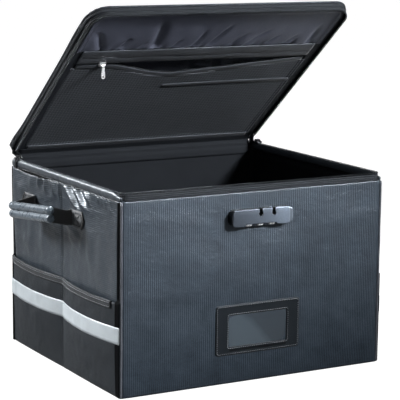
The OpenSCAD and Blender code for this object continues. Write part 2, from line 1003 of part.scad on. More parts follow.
zip_z = mesh_z + tape_t / 2;
module lid_upper_band() {
    upper = pocket_zip_v + row_gap + coil_r;
    pad = gather_v - 13;
    color(dark)
        on_lid()
            union() {
                slab([-mesh_x, -gather_v, zip_z - tape_t / 2], [mesh_x, -upper, zip_z + tape_t / 2]);
                slab([-mesh_x, -gather_v, zip_z], [mesh_x, -pad, lid_lining_z]);
            }
}

module pocket_upper_coil() {
    color(grey)
        on_lid()
            translate([-mesh_x, -pocket_zip_v - row_gap, zip_z])
                rotate([0, 90, 0])
                    cylinder(r = coil_r, h = 2 * mesh_x);
}

// Lower row of the pocket's zip: level as far as the slider, down to its lowest point and straight up again
function ease(t) = t <= 0 ? 0 : t >= 1 ? 1 : t * t * (3 - 2 * t);
sag_start = pocket_slider_x + 4;
function sag(x) = x < pocket_sag_x ? ease((x - sag_start) / (pocket_sag_x - sag_start))
    : max(0, 1 - (x - pocket_sag_x) / (mesh_x - pocket_sag_x));
function hem_v(x) = pocket_zip_v - row_gap + coil_r - pocket_sag * sag(x);
hem_step = 14;
function hem_line(half, drop) = [for (x = [-half : hem_step : half + 0.1]) [x, drop - hem_v(x)]];
function flip(list) = [for (i = [len(list) - 1 : -1 : 0]) list[i]];

module pocket_lower_tape() {
    tape_w = 11;
    half = mesh_x - 2;
    color(dark)
        on_lid()
            union() {
                translate([0, 0, zip_z - tape_t / 2])
                    linear_extrude(tape_t)
                        polygon(concat(hem_line(half, coil_r), flip(hem_line(half, tape_w))));
                translate([0, 0, zip_z - coil_r])
                    linear_extrude(2 * coil_r)
                        polygon(concat(hem_line(half, 0), flip(hem_line(half, 2 * coil_r))));
            }
}

// Mesh panel of the lid pocket, from the border at the hinge up to the lower zip tape
module pocket_mesh() {
    half = mesh_x + 5;
    color([0.15, 0.15, 0.16, 0.7])
        on_lid()
            translate([0, 0, zip_z - tape_t / 2 - mesh_t])
                linear_extrude(mesh_t)
                    polygon(concat(hem_line(half, 8), [[half, -border_w], [-half, -border_w]]));
}

module lid_zip_tape() {
    color(dark)
        on_lid()
            translate([0, 0, row_gap + coil_r])
                linear_extrude(skirt_z - row_gap - coil_r + 2)
                    difference() {
                        lid_plan(cloth_t);
                        lid_plan(cloth_t + tape_t);
                        translate([-case_w, -zip_end - hinge_gap])
                            square([2 * case_w, lid_l]);
                    }
}

module lid_zip_coil() {
    mid = cloth_t + tape_t / 2;
    color(grey)
        on_lid()
            translate([0, 0, row_gap])
                u_bead(case_w / 2 - mid, mid - lid_l, -zip_end - hinge_gap, lid_front_r - mid, coil_r);
}

// Pocket slider frame on the lid: x along the zip, y towards the free edge, z out of the lid's inner face
module on_pocket_zip() {
    on_lid()
        translate([pocket_slider_x, -pocket_zip_v, zip_z])
            rotate([180, 0, 0])
                children();
}

module pocket_slider() {
    color("silver")
        on_pocket_zip()
            slider_body();
}

// The pull hangs plumb from its pin while the lid leans over the case
module pocket_pull() {
    ear_z = coil_r + 0.3 + 1.2 + 2;
    color("silver")
        on_pocket_zip()
            translate([0, 0, ear_z])
                rotate([lid_open - 90, 0, 0])
                    translate([0, 0, -ear_z])
                        slider_pull(pocket_pull_l, 6);
}

front_cover();
back_cover();
left_cover();
on_right() left_cover();  // right_cover
base_cover();
corner_piping();
front_board();
back_board();
left_half_board(-1);  // left_front_board
left_half_board(1);  // left_rear_board
on_right() left_half_board(-1);  // right_front_board
on_right() left_half_board(1);  // right_rear_board
wall_lining();
side_binding();
body_zip_tape();
body_zip_coil();
hinge_fold();
lock_housing();
lock_backplate();
lock_screws();
dial_shaft();
latch_spring();
label_frame();
label_window();
left_pocket();
left_pocket_hem();
left_reflective_strip();
on_right() left_pocket();  // right_pocket
on_right() left_pocket_hem();  // right_pocket_hem
on_right() left_reflective_strip();  // right_reflective_strip
left_handle_anchors();
on_right() left_handle_anchors();  // right_handle_anchors
base_board();
left_handle_strap();
left_grip();
on_right() left_handle_strap();  // right_handle_strap
on_right() left_grip();  // right_grip
dial(1);  // dial_1
dial(2);  // dial_2
dial(3);  // dial_3
release_button();
latch_bar();
left_zip_slider();
on_right() left_zip_slider();  // right_zip_slider
left_zip_pull();
on_right() left_zip_pull();  // right_zip_pull
lid_cover();
lid_board();
lid_lining();
lid_border();
lid_gather();
lid_upper_band();
lid_zip_tape();
lid_zip_coil();
pocket_mesh();
pocket_lower_tape();
pocket_upper_coil();
pocket_slider();
pocket_pull();
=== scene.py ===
import math

import bmesh
import bpy
from mathutils import Matrix, Vector, noise


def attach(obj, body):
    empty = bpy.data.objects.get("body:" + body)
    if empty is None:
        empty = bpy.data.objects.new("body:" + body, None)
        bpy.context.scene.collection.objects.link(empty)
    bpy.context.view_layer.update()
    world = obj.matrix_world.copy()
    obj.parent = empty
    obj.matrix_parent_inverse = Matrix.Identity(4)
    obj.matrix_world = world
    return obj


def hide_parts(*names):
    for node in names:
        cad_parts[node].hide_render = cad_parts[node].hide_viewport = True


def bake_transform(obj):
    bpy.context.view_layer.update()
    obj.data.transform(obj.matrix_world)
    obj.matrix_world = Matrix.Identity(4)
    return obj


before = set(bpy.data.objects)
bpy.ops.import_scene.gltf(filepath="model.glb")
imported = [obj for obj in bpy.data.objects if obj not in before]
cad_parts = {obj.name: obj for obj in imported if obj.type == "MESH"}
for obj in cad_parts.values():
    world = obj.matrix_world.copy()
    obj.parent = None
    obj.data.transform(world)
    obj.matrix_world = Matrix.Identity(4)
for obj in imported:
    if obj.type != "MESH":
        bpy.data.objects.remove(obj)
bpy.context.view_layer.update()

# Sizes in millimetres, as in the part's source
W, D, H = 450.0, 384.0, 301.0
HX, HY = W / 2, D / 2
RIM_R = 14.0
HINGE_Y = HY + 0.3
LID_L, LID_R, LID_REAR_R = D + 0.3, 30.0, 10.0
MESH_X = HX - 20.0
ZIP_V, GATHER_V = 252.0, 286.0
BORDER_NEAR, BORDER_FAR = 20.0, 372.3
FRONT_X, LOCK_Z, LABEL_Z = 4.0, 250.8, 82.0
LABEL_W, LABEL_H, WINDOW_W, WINDOW_H = 146, 77, 101, 48
HANDLE_Y, HANDLE_Z, HANDLE_OUT, LEG_Y = 30.0, 241.0, 40.0, 66
GRIP_RISE, GRIP_TILT = 7.0, math.atan(7.0 / 66.0)
GRIP_R, GRIP_HALF = 6.3, 71.5
STRIP_Z, STRIP_H = 80.0, 25.0
DIAL_PITCH, DIAL_R = 19.7, 6.0

# The lid's opening angle, and the directions along it from the hinge and out through its top
A = math.radians(39.0)
LID_T = Vector((0, -math.cos(A), math.sin(A)))
LID_N = Vector((0, math.sin(A), math.cos(A)))
OUT_L, OUT_R, OUT_F, OUT_B = Vector((-1, 0, 0)), Vector((1, 0, 0)), Vector((0, -1, 0)), Vector((0, 1, 0))
SIDES = ((-1, "left", OUT_L), (1, "right", OUT_R))

# Cloth sizes in millimetres
CLOTH_T = 1.4
FRONT_HALF, BACK_HALF, SIDE_HALF, POCKET_HALF = 222.4, 221, 188, 190.5
FRONT_TOP, BACK_TOP, POCKET_FOOT, POCKET_TOP = 289, 299, 0.6, 140


def mm(x, y, z):
    return Vector((x, y, z)) * 0.001


def lid(x, v, w):
    """Point on the lid: v from the hinge towards its free edge, w out through its top."""
    return mm(x, HINGE_Y - v * math.cos(A) + w * math.sin(A), H + v * math.sin(A) + w * math.cos(A))


def n3(x, y, z=0.0):
    return noise.noise(Vector((x, y, z)))


def smooth(a, b, t):
    t = min(1.0, max(0.0, (t - a) / (b - a)))
    return t * t * (3 - 2 * t)


def gauss(t, s):
    return math.exp(-0.5 * (t / s) ** 2)


def span(a, b, n):
    return [a + (b - a) * i / n for i in range(n + 1)]


def along(points, t):
    """Coordinates at the share t of the way through a list of points, each step counted alike."""
    t *= len(points) - 1
    i = min(len(points) - 2, int(t))
    return [p + (q - p) * (t - i) for p, q in zip(points[i], points[i + 1])]


# Materials, by name
M = {}


def node(nt, kind, inputs=None, **props):
    """Adds a node; an input given as a socket is linked, and any other value is set."""
    n = nt.nodes.new(kind)
    for key, value in props.items():
        setattr(n, key, value)
    return fill(nt, n, inputs or {})


def fill(nt, n, inputs):
    for key, value in inputs.items():
        if isinstance(value, bpy.types.NodeSocket):
            nt.links.new(value, n.inputs[key])
        else:
            n.inputs[key].default_value = value
    return n


def new_mat(name):
    M[name] = bpy.data.materials.new(name)
    M[name].use_nodes = True
    nt = M[name].node_tree
    return nt, nt.nodes["Principled BSDF"]


def coords(nt, scale=(1, 1, 1), rot=(0, 0, 0)):
    place = node(nt, "ShaderNodeTexCoord").outputs["Object"]
    return node(nt, "ShaderNodeMapping", {"Scale": scale, "Rotation": rot, "Vector": place}).outputs["Vector"]


def axes(nt, vec):
    return node(nt, "ShaderNodeSeparateXYZ", {"Vector": vec}).outputs


def wave(nt, vec, direction, pitch_mm, distortion=0.0):
    scale = 2 * math.pi / (20 * pitch_mm * 0.001)
    return node(nt, "ShaderNodeTexWave", {"Scale": scale, "Distortion": distortion, "Vector": vec},
                bands_direction=direction).outputs["Fac"]


def noise_tex(nt, vec, size_mm, detail=3.0, rough=0.5):
    return node(nt, "ShaderNodeTexNoise", {"Scale": 1000.0 / size_mm, "Detail": detail, "Roughness": rough,
                                           "Vector": vec}).outputs["Fac"]


def calc(nt, op, a, b):
    return node(nt, "ShaderNodeMath", {0: a, 1: b}, operation=op).outputs[0]


def add_scaled(nt, a, ka, b, kb):
    return calc(nt, "ADD", calc(nt, "MULTIPLY", a, ka), calc(nt, "MULTIPLY", b, kb))


def ramp(nt, fac, stops, tone=None):
    """Colour ramp over (position, colour or grey value) stops, or over (position, factor) stops of a tone."""
    if tone:
        stops = [(pos, shade(tone, k)) for pos, k in stops]
    r = node(nt, "ShaderNodeValToRGB", {"Fac": fac})
    els = r.color_ramp.elements
    while len(els) < len(stops):
        els.new(0.5)
    for e, (pos, col) in zip(els, stops):
        e.position = pos
        e.color = (*(col if isinstance(col, tuple) else (col,) * 3), 1)
    return r.outputs["Color"]


def bump(nt, height, dist_mm, strength=1.0, after=None):
    inputs = {"Distance": dist_mm * 0.001, "Strength": strength, "Height": height}
    if after is not None:
        inputs["Normal"] = after
    return node(nt, "ShaderNodeBump", inputs).outputs["Normal"]


def shade(c, k):
    return tuple(min(1.0, v * k) for v in c)


# Tint of the highlights on everything but metal
COOL = (0.78, 0.89, 1.0, 1.0)


def cloth(name, col, rib=None, rough=0.6, sheen=0.0, weave=0.7, rib_depth=0.35, vary=0.25, coat=0.0, spec=0.5,
          rib_col=0.25, weave_axes="XZ", crinkle=0.0, fine_bump=0.12, floor_shade_shine=None):
    """Woven cloth: a fine weave, optional ribs as (axis, pitch) and slow colour variation.

    With floor_shade_shine the cloth reflects less towards the floor: painted shade, standing in for the darker
    surroundings that it would reflect there.
    """
    nt, p = new_mat(name)
    vec = coords(nt)
    fine = calc(nt, "MULTIPLY", wave(nt, vec, weave_axes[0], weave), wave(nt, vec, weave_axes[1], weave))
    slow = noise_tex(nt, vec, 38.0, 4.0, 0.6)
    spots = noise_tex(nt, vec, 2.4, 2.0, 0.7)
    mix = add_scaled(nt, slow, 0.65, spots, 0.35)
    normal = bump(nt, fine, fine_bump, 0.6)
    if rib:
        ribs = wave(nt, vec, rib[0], rib[1], 0.3)
        mix = add_scaled(nt, mix, 1 - rib_col, ribs, rib_col)
        normal = bump(nt, ribs, rib_depth, 0.9, normal)
    normal = bump(nt, noise_tex(nt, vec, 14.0, 3.0), 0.5, 0.35, normal)
    if crinkle:
        warped = noise_tex(nt, coords(nt, (0.6, 0.6, 1.5), (0.2, 0.5, 0.3)), 55.0, 5.0, 0.55)
        normal = bump(nt, warped, crinkle, 0.8, normal)
    if floor_shade_shine is None:
        shine = spec
    else:
        # Painted shade: the shine fades towards the floor.
        height = add_scaled(nt, axes(nt, vec)["Z"], 4.0, slow, 0.2)
        shine = ramp(nt, height, [(0.2, floor_shade_shine), (0.95, spec)])
    fill(nt, p, {
        "Base Color": ramp(nt, mix, [(0.25, 1 - vary), (0.75, 1 + vary)], col),
        "Roughness": ramp(nt, spots, [(0.3, rough - 0.06), (0.7, rough + 0.08)]),
        "Normal": normal, "Sheen Weight": sheen, "Sheen Roughness": 0.45, "Specular IOR Level": shine,
        "Specular Tint": COOL, "Coat Weight": coat, "Coat Roughness": 0.3})


def plastic(name, col, rough=0.35, grain=0.05, vary=0.12, coat=0.0, metallic=0.0, grain_mm=1.2, scratch=0.0,
            spec=0.5, edge=0.0, sides=None, fade=None):
    """Moulded or metal finish: fine grain, slight colour drift, optional scratches and rounded edges in the shading.

    sides darkens every face that doesn't look forward, as painted shade, and fade = (x0, k0, x1, k1) lightens the
    colour along x, as a painted highlight.
    """
    nt, p = new_mat(name)
    vec = coords(nt)
    # Painted highlight: the colour brightens along x.
    if fade:
        x0, k0, x1, k1 = fade
        across = calc(nt, "DIVIDE", calc(nt, "SUBTRACT", axes(nt, vec)["X"], x0 * 0.001), (x1 - x0) * 0.001)
        base = ramp(nt, across, [(0.0, k0), (0.6, (k0 + k1) / 2.4), (1.0, k1)], col)
    else:
        base = ramp(nt, noise_tex(nt, vec, 22.0, 3.0), [(0.3, 1 - vary), (0.7, 1 + vary)], col)
    if sides is not None:
        # Painted shade: faces that don't look forward get a darker colour.
        facing = axes(nt, node(nt, "ShaderNodeNewGeometry").outputs["Normal"])["Y"]
        dark = ramp(nt, calc(nt, "MULTIPLY", facing, -1.0), [(0.45, sides), (0.9, 1.0)])
        base = node(nt, "ShaderNodeMix", {"Factor": 1.0, "A": base, "B": dark}, data_type="RGBA",
                    blend_type="MULTIPLY").outputs["Result"]
    fine = noise_tex(nt, vec, grain_mm, 2.0, 0.6)
    normal = node(nt, "ShaderNodeBevel", {"Radius": edge * 0.001}, samples=6).outputs["Normal"] if edge else None
    normal = bump(nt, fine, grain, 0.7, normal)
    if scratch:
        normal = bump(nt, noise_tex(nt, coords(nt, (1, 1, 14)), 6.0, 4.0, 0.7), scratch, 0.5, normal)
    fill(nt, p, {
        "Base Color": base, "Roughness": ramp(nt, fine, [(0.3, max(0.02, rough - 0.07)), (0.7, rough + 0.07)]),
        "Normal": normal, "Metallic": metallic, "Coat Weight": coat, "Coat Roughness": 0.12,
        "Specular IOR Level": spec})
    if not metallic:
        p.inputs["Specular Tint"].default_value = COOL


def webbing(name, col, axis_u, axis_v, sheen):
    """Woven strap: rows of short diagonal picks."""
    nt, p = new_mat(name)
    vec = coords(nt)
    rows = calc(nt, "MULTIPLY", wave(nt, vec, axis_u, 1.7), wave(nt, vec, axis_v, 2.3))
    pick = calc(nt, "ADD", rows, calc(nt, "MULTIPLY", wave(nt, vec, "DIAGONAL", 1.5), 0.5))
    fill(nt, p, {"Base Color": ramp(nt, pick, [(0.2, 0.6), (0.9, 1.35)], col),
                 "Normal": bump(nt, pick, 0.35, 0.9), "Roughness": 0.6, "Sheen Weight": sheen})


def film(name):
    """Clear label window with a soft diagonal reflection painted into its colour."""
    nt, p = new_mat(name)
    vec = coords(nt)
    place = axes(nt, vec)
    slant = calc(nt, "SUBTRACT", add_scaled(nt, place["X"], 9.0, place["Z"], 9.0), 0.42)
    slant = calc(nt, "ADD", slant, calc(nt, "MULTIPLY", noise_tex(nt, vec, 60.0, 2.0), 0.3))
    # Painted reflection: the colour is lighter along a diagonal band.
    fill(nt, p, {"Base Color": ramp(nt, slant, [(0.42, (0.036, 0.048, 0.06)), (0.56, (0.022, 0.029, 0.037))]),
                 "Normal": bump(nt, noise_tex(nt, vec, 45.0, 1.0), 1.2, 0.35), "Roughness": 0.14,
                 "Coat Weight": 0.5, "Coat Roughness": 0.05})


def net(name, col, pitch_mm, cover):
    """Knitted mesh: opaque threads on a lattice with open holes between."""
    nt, p = new_mat(name)
    vec = coords(nt, rot=(A, 0, 0))
    holes = calc(nt, "MULTIPLY", wave(nt, vec, "X", pitch_mm), wave(nt, vec, "Y", pitch_mm))
    fill(nt, p, {"Alpha": ramp(nt, holes, [(cover - 0.08, 1.0), (cover + 0.08, 0.0)]),
                 "Base Color": ramp(nt, holes, [(0.1, 1.4), (0.6, 0.8)], col),
                 "Normal": bump(nt, holes, 0.4, 0.6), "Roughness": 0.7, "Specular IOR Level": 0.08})


SLATE = (0.019, 0.0255, 0.034)
BLACK = (0.008, 0.009, 0.011)
# The front cloth's shine is lowered towards the floor as painted shade.
cloth("cloth_front", SLATE, ("X", 3.3), 0.34, rib_depth=0.2, rib_col=0.16, vary=0.5, crinkle=3.0, floor_shade_shine=0.02)
cloth("cloth_side", shade(SLATE, 0.75), ("Z", 3.0), 0.34, rib_depth=0.14, rib_col=0.8, vary=0.6, spec=0.6,
      weave_axes="YZ", crinkle=5.5, fine_bump=0.05)
cloth("cloth_lid", SLATE, ("X", 3.3), rib_depth=0.3, rib_col=0.5, vary=0.45, spec=0.18, weave_axes="XY")
cloth("cloth_pocket", shade(SLATE, 0.3), None, 0.55, vary=0.4, spec=0.19, weave_axes="YZ")
cloth("cloth_frame", shade(SLATE, 0.2), None, 0.42, weave=1.1, spec=0.22)
cloth("lining", shade(BLACK, 0.7), None, 0.7, weave=1.1, spec=0.05)
cloth("tape", BLACK, ("Z", 1.6), 0.62, weave=1.0, rib_depth=0.2, spec=0.14)
cloth("pocket_tape", shade(BLACK, 3.0), ("Z", 1.6), 0.55, 0.05, weave=1.0, rib_depth=0.2, spec=0.35)
cloth("lid_tape", shade(BLACK, 1.2), ("X", 2.2), 0.55, weave=1.0, spec=0.16, rib_depth=0.3, rib_col=0.5)
cloth("binding", (0.024, 0.029, 0.035), None, 0.36, weave=1.3, coat=0.08, weave_axes="YZ")
cloth("hem", (0.018, 0.019, 0.021), ("Z", 3.4), 0.5, weave=1.2, rib_depth=0.25, spec=0.22, weave_axes="YZ")
cloth("piping", (0.01, 0.012, 0.016), None, 0.45, weave=0.9, spec=0.3)
cloth("welt", (0.05, 0.053, 0.063), None, 0.36, weave=0.9, vary=0.5, spec=0.6)
# Near-black cloth for strips that stand in for shade: painted shade.
cloth("painted_shade_black", shade(BLACK, 0.25), None, 0.7, weave=1.1, spec=0.02)
cloth("satin", (0.056, 0.061, 0.084), None, 0.45, weave=0.5, vary=0.2, weave_axes="XY")
cloth("satin_dark", (0.016, 0.018, 0.024), None, 0.5, weave=0.5, vary=0.3, spec=0.25, weave_axes="XY")
cloth("border", (0.014, 0.016, 0.02), None, 0.55, spec=0.22, weave=0.9, weave_axes="XY")
webbing("webbing", (0.006, 0.0065, 0.008), "Z", "X", 0.05)
webbing("patch", (0.032, 0.036, 0.042), "Y", "Z", 0.0)
plastic("vinyl", (0.056, 0.072, 0.088), 0.3, 0.002, 0.05, coat=0.2, grain_mm=9.0, spec=0.6)
plastic("reflective", (0.29, 0.32, 0.34), 0.5, 0.1, 0.06, grain_mm=1.6)
plastic("thread", (0.2, 0.21, 0.225), 0.5, 0.05, 0.2, grain_mm=0.5)
plastic("thread_dark", (0.035, 0.037, 0.04), 0.5, 0.05, 0.2, grain_mm=0.5)
plastic("coil", (0.012, 0.013, 0.015), 0.3, 0.05, 0.15, grain_mm=0.8)
plastic("metal", (0.5, 0.51, 0.53), 0.26, 0.02, 0.04, metallic=0.55, grain_mm=0.6, edge=0.3)
plastic("metal_dark", (0.06, 0.062, 0.068), 0.28, 0.02, 0.06, metallic=1.0, grain_mm=0.6, edge=0.3)
plastic("steel", (0.55, 0.56, 0.58), 0.3, 0.03, 0.06, metallic=1.0, scratch=0.05, edge=0.2)
# The lock's colour carries painted shade on its ends, top and underside, and a painted highlight that brightens its
# face towards its right end.
plastic("lock", (0.08, 0.098, 0.125), 0.22, 0.008, 0.06, coat=0.2, metallic=0.6, grain_mm=0.7, edge=1.0, sides=0.05,
        fade=(-50, 0.65, 50, 2.4))
plastic("lock_button", (0.15, 0.18, 0.22), 0.2, 0.008, 0.06, coat=0.35, metallic=0.6, grain_mm=0.7, edge=0.8)
plastic("dial", (0.5, 0.51, 0.54), 0.3, 0.03, 0.05, grain_mm=0.8, edge=0.2)
plastic("ink", (0.02, 0.02, 0.02), 0.5, 0.02, 0.1)
# Near black, so that the boards read dark where they show in the rim's slit: painted shade.
plastic("board", (0.006, 0.0062, 0.007), 0.8, 0.3, 0.15, grain_mm=3.0, spec=0.05)
film("film")
net("mesh", (0.06, 0.066, 0.076), 5.2, 0.13)


# Building helpers
def add(name, data):
    obj = bpy.data.objects.new(name, data)
    bpy.context.scene.collection.objects.link(obj)
    return obj


def make(name, data, mat, body, replaces=(), smooth_faces=True, fix=False):
    """Adds a piece from (verts, faces); fix turns all its faces outward."""
    verts, faces = data
    mesh = bpy.data.meshes.new(name)
    mesh.from_pydata([tuple(v) for v in verts], [], faces)
    mesh.validate()
    if fix:
        bm = bmesh.new()
        bm.from_mesh(mesh)
        bmesh.ops.recalc_face_normals(bm, faces=bm.faces)
        bm.to_mesh(mesh)
        bm.free()
    for poly in mesh.polygons:
        poly.use_smooth = smooth_faces
    mesh.update()
    obj = add(name, mesh)
    mesh.materials.append(M[mat])
    if body:
        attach(obj, body)
    if replaces:
        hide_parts(*replaces)
    return obj


def join_data(parts):
    verts, faces = [], []
    for v, f in parts:
        base = len(verts)
        verts += v
        faces += [tuple(i + base for i in face) for face in f]
    return verts, faces


def loft(rings, closed=False, first=True, last=True):
    """Skin over rings of equally many points: closed joins the last ring to the first, else the ends get caps."""
    n, m = len(rings), len(rings[0])
    faces = []
    for i in range(n if closed else n - 1):
        j = (i + 1) % n
        for k in range(m):
            l = (k + 1) % m
            faces.append((i * m + k, i * m + l, j * m + l, j * m + k))
    if first and not closed:
        faces.append(tuple(range(m - 1, -1, -1)))
    if last and not closed:
        faces.append(tuple(range((n - 1) * m, n * m)))
    return [p for ring in rings for p in ring], faces


def sheet_data(nu, nv, fn, thick, loop=False):
    """Cloth of a given thickness in mm on the surface fn(i/nu, j/nv); its second layer lies behind the first."""
    rows, cols = nv + 1, nu if loop else nu + 1
    pts = [[fn(i / nu, j / nv) for j in range(rows)] for i in range(cols)]

    def normal(i, j):
        before, after = ((i - 1) % cols, (i + 1) % cols) if loop else (max(i - 1, 0), min(i + 1, nu))
        n = (pts[after][j] - pts[before][j]).cross(pts[i][min(j + 1, nv)] - pts[i][max(j - 1, 0)])
        return n.normalized() if n.length > 0 else Vector((0, 0, 1))

    t = thick * 0.001
    top = [p for col in pts for p in col]
    low = [pts[i][j] - normal(i, j) * t for i in range(cols) for j in range(rows)]
    k = len(top)

    def edge(a, b):
        return a, k + a, k + b, b

    faces = []
    for i in range(nu):
        near, far = i * rows, (i + 1) % cols * rows
        for j in range(nv):
            a, b, c, d = near + j, far + j, far + j + 1, near + j + 1
            faces += [(a, b, c, d), (k + a, k + d, k + c, k + b)]
        faces += [edge(near, far), edge(far + nv, near + nv)]
    if not loop:
        end = nu * rows
        faces += [edge(j + 1, j) for j in range(nv)]
        faces += [edge(end + j, end + j + 1) for j in range(nv)]
    return top + low, faces


def sheet(name, nu, nv, fn, thick, mat, body, replaces=(), loop=False):
    return make(name, sheet_data(nu, nv, fn, thick, loop), mat, body, replaces, fix=True)


def ribbon(name, low, high, thick, rows, mat, body, replaces=()):
    """Sheet between two lines of equally many points."""
    n = len(low) - 1
    sheet(name, n, rows, lambda a, b: low[round(a * n)].lerp(high[round(a * n)], b), thick, mat, body, replaces)


def circle(n):
    return [(math.cos(2 * math.pi * k / n), math.sin(2 * math.pi * k / n)) for k in range(n)]


def tube_data(pts, radius, sides=10, closed=False):
    """Tube along points, radius in mm; each ring is turned as little as possible from the one before."""
    n = len(pts)
    rings, u = [], None
    for i, p in enumerate(pts):
        a = pts[(i - 1) % n] if closed or i else pts[0]
        b = pts[(i + 1) % n] if closed or i < n - 1 else pts[-1]
        t = (b - a).normalized()
        if u is None:
            u = Vector((0, 0, 1)) if abs(t.z) < 0.9 else OUT_R
        u = (u - t * u.dot(t)).normalized()
        v = t.cross(u)
        rings.append([p + (u * c + v * s) * radius * 0.001 for c, s in circle(sides)])
    return loft(rings, closed)


def resample(pts, step):
    """Evenly spaced points along a polyline of vectors, step in mm."""
    out, acc = [pts[0].copy()], 0.0
    step *= 0.001
    for a, b in zip(pts, pts[1:]):
        seg = (b - a).length
        if seg == 0:
            continue
        d = step - acc
        while d <= seg:
            out.append(a.lerp(b, d / seg))
            d += step
        acc = (acc + seg) % step
    return out


def stitch_row(pts, normal, pitch=3.4, length=2.4, r=0.32):
    """Thread stitches along a polyline, each a small arch; normal is a vector or a function of the point."""
    lift, half = 0.15, length * 0.0005
    arch = ((-half, -0.25, 0.45), (-half * 0.55, 0.75, 1.0), (half * 0.55, 0.75, 1.0), (half, -0.25, 0.45))
    pts = resample(pts, pitch / 4)
    row = []
    for i in range(0, len(pts) - 3, 4):
        a, c = pts[i], pts[i + 3]
        if a == c:
            continue
        t = (c - a).normalized()
        mid = (a + c) / 2
        n = normal(mid) if callable(normal) else normal
        n = (n - t * n.dot(t)).normalized()
        s = t.cross(n)
        rings = []
        for ahead, up, k in arch:
            o = mid + t * ahead + n * (lift + r * up) * 0.001
            rr = r * k * 0.001
            rings.append([o + s * rr, o + n * rr, o - s * rr, o - n * rr])
        row.append(loft(rings))
    return row


def stitches(name, lines, normal, body, mat="thread", slot="webbing", **kw):
    make(name, join_data([one for pts in lines for one in stitch_row(pts, normal, **kw)]), mat, body)


def coil_data(pts, across):
    """Nylon coil: one unbroken helix along the points; across is the direction that the coil is wide in."""
    turn, wide, deep, wire, steps = 1.9, 1.15, 0.95, 0.42, 8
    fine = resample(pts, turn / steps)
    path = []
    for i, p in enumerate(fine):
        t = (fine[min(i + 1, len(fine) - 1)] - fine[max(i - 1, 0)]).normalized()
        u = (across - t * across.dot(t)).normalized()
        ph = 2 * math.pi * i / steps
        path.append(p + (u * math.cos(ph) * wide + t.cross(u) * math.sin(ph) * deep) * 0.001)
    return tube_data(path, wire, 4)


def plate_data(outline, thick, bevel, place):
    """Flat plate with a rolled edge: outline in (a, b), place(a, b, height) gives the point."""
    ca, cb = (sum(p[q] for p in outline) / len(outline) for q in (0, 1))
    far = max(math.hypot(a - ca, b - cb) for a, b in outline)
    rings = []
    for h, inset in ((0.0, 0.0), (thick - bevel, 0.0), (thick - bevel * 0.3, bevel * 0.3), (thick, bevel)):
        k = 1 - inset / far
        rings.append([place(ca + (a - ca) * k, cb + (b - cb) * k, h) for a, b in outline])
    return loft(rings)


def round_rect(x0, x1, y0, y1, radii, n):
    """Points round a rectangle from its (x1, y1) corner, n steps to each rounded corner."""
    corners = ((x1, y1, -1, -1), (x0, y1, 1, -1), (x0, y0, 1, 1), (x1, y0, -1, 1))
    pts = []
    for q, ((x, y, sx, sy), r) in enumerate(zip(corners, radii)):
        for t in span(q * math.pi / 2, (q + 1) * math.pi / 2, n):
            pts.append((x + sx * r + r * math.cos(t), y + sy * r + r * math.sin(t)))
    return pts


def divided(pts, count):
    """A closed outline with each side cut into count(index, length) steps."""
    out = []
    for i, ((a, b), (c, d)) in enumerate(zip(pts, pts[1:] + pts[:1])):
        k = count(i, math.hypot(c - a, d - b))
        out += [(a + (c - a) * q / k, b + (d - b) * q / k) for q in range(k)]
    return out


def densify(pts, step):
    return divided(pts, lambda i, length: max(1, int(length / step)))


def u_points(half, far, r, near, arc, front):
    """Points round three sides of a rectangle whose far corners are rounded, from its +x side to its -x side."""
    turn = span(0, math.pi / 2, arc)[1:]
    pts = [(half, d) for d in span(near, far - r, 110)]
    pts += [(half - r + r * math.cos(t), far - r + r * math.sin(t)) for t in turn]
    pts += [(x, far) for x in span(half - r, r - half, front)[1:]]
    pts += [(r - half - r * math.sin(t), far - r + r * math.cos(t)) for t in turn]
    return pts + [(-half, d) for d in span(far - r, near, 110)[1:]]


def cad(node_name, mat):
    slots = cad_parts[node_name].data.materials
    if slots:
        for i in range(len(slots)):
            slots[i] = M[mat]
    else:
        slots.append(M[mat])


# Camera, fitted to the edges of the box in the photograph
cam_right = Vector((0.869662, -0.493513, 0.011513))
cam_down = Vector((-0.075456, -0.155944, -0.98488))
cam_forward = Vector((0.487846, 0.855644, -0.172857))
cam_place = Vector((-1.28545, -2.276162, 0.70268))
cam_data = bpy.data.cameras.new("camera")
cam_data.sensor_width = 36.0
cam_data.lens = 151.5
cam_data.clip_end = 50.0
cam = add("camera", cam_data)
turned = Matrix((cam_right, -cam_down, -cam_forward)).transposed()
cam.matrix_world = Matrix.Translation(cam_place) @ turned.to_4x4()
bpy.context.scene.camera = cam


# Surfaces of the outer cloth, as distances out from the case's box in mm
def flat_edge(x, z, half):
    """1 over the middle of a wall, down to 0 at its side edges, floor and top; half is half of its height."""
    return (1 - (abs(x) / BACK_HALF) ** 6) * (1 - (abs(z - half) / half) ** 6)


def front_off(x, z):
    edge = flat_edge(x, z, 145) - 0.6 * smooth(210, 222, abs(x))
    hold = 1 - 0.9 * gauss(x - FRONT_X, 60) * gauss(z - LOCK_Z, 22)
    hold *= 1 - 0.9 * gauss(x - FRONT_X, 75) * gauss(z - LABEL_Z, 42)
    under_lock = 0.6 * gauss(x - FRONT_X, 45) * gauss(z - LOCK_Z, 14)
    return edge * hold * (1.6 + 1.7 * n3(x / 85, z / 110, 2.0) + 0.45 * n3(x / 32, z / 45, 5.0)) - under_lock


def back_off(x, z):
    return flat_edge(x, z, 150) * (1.0 + 0.7 * n3(x / 90, z / 120, 9.0)) * (1 - 0.8 * smooth(255, 280, z))


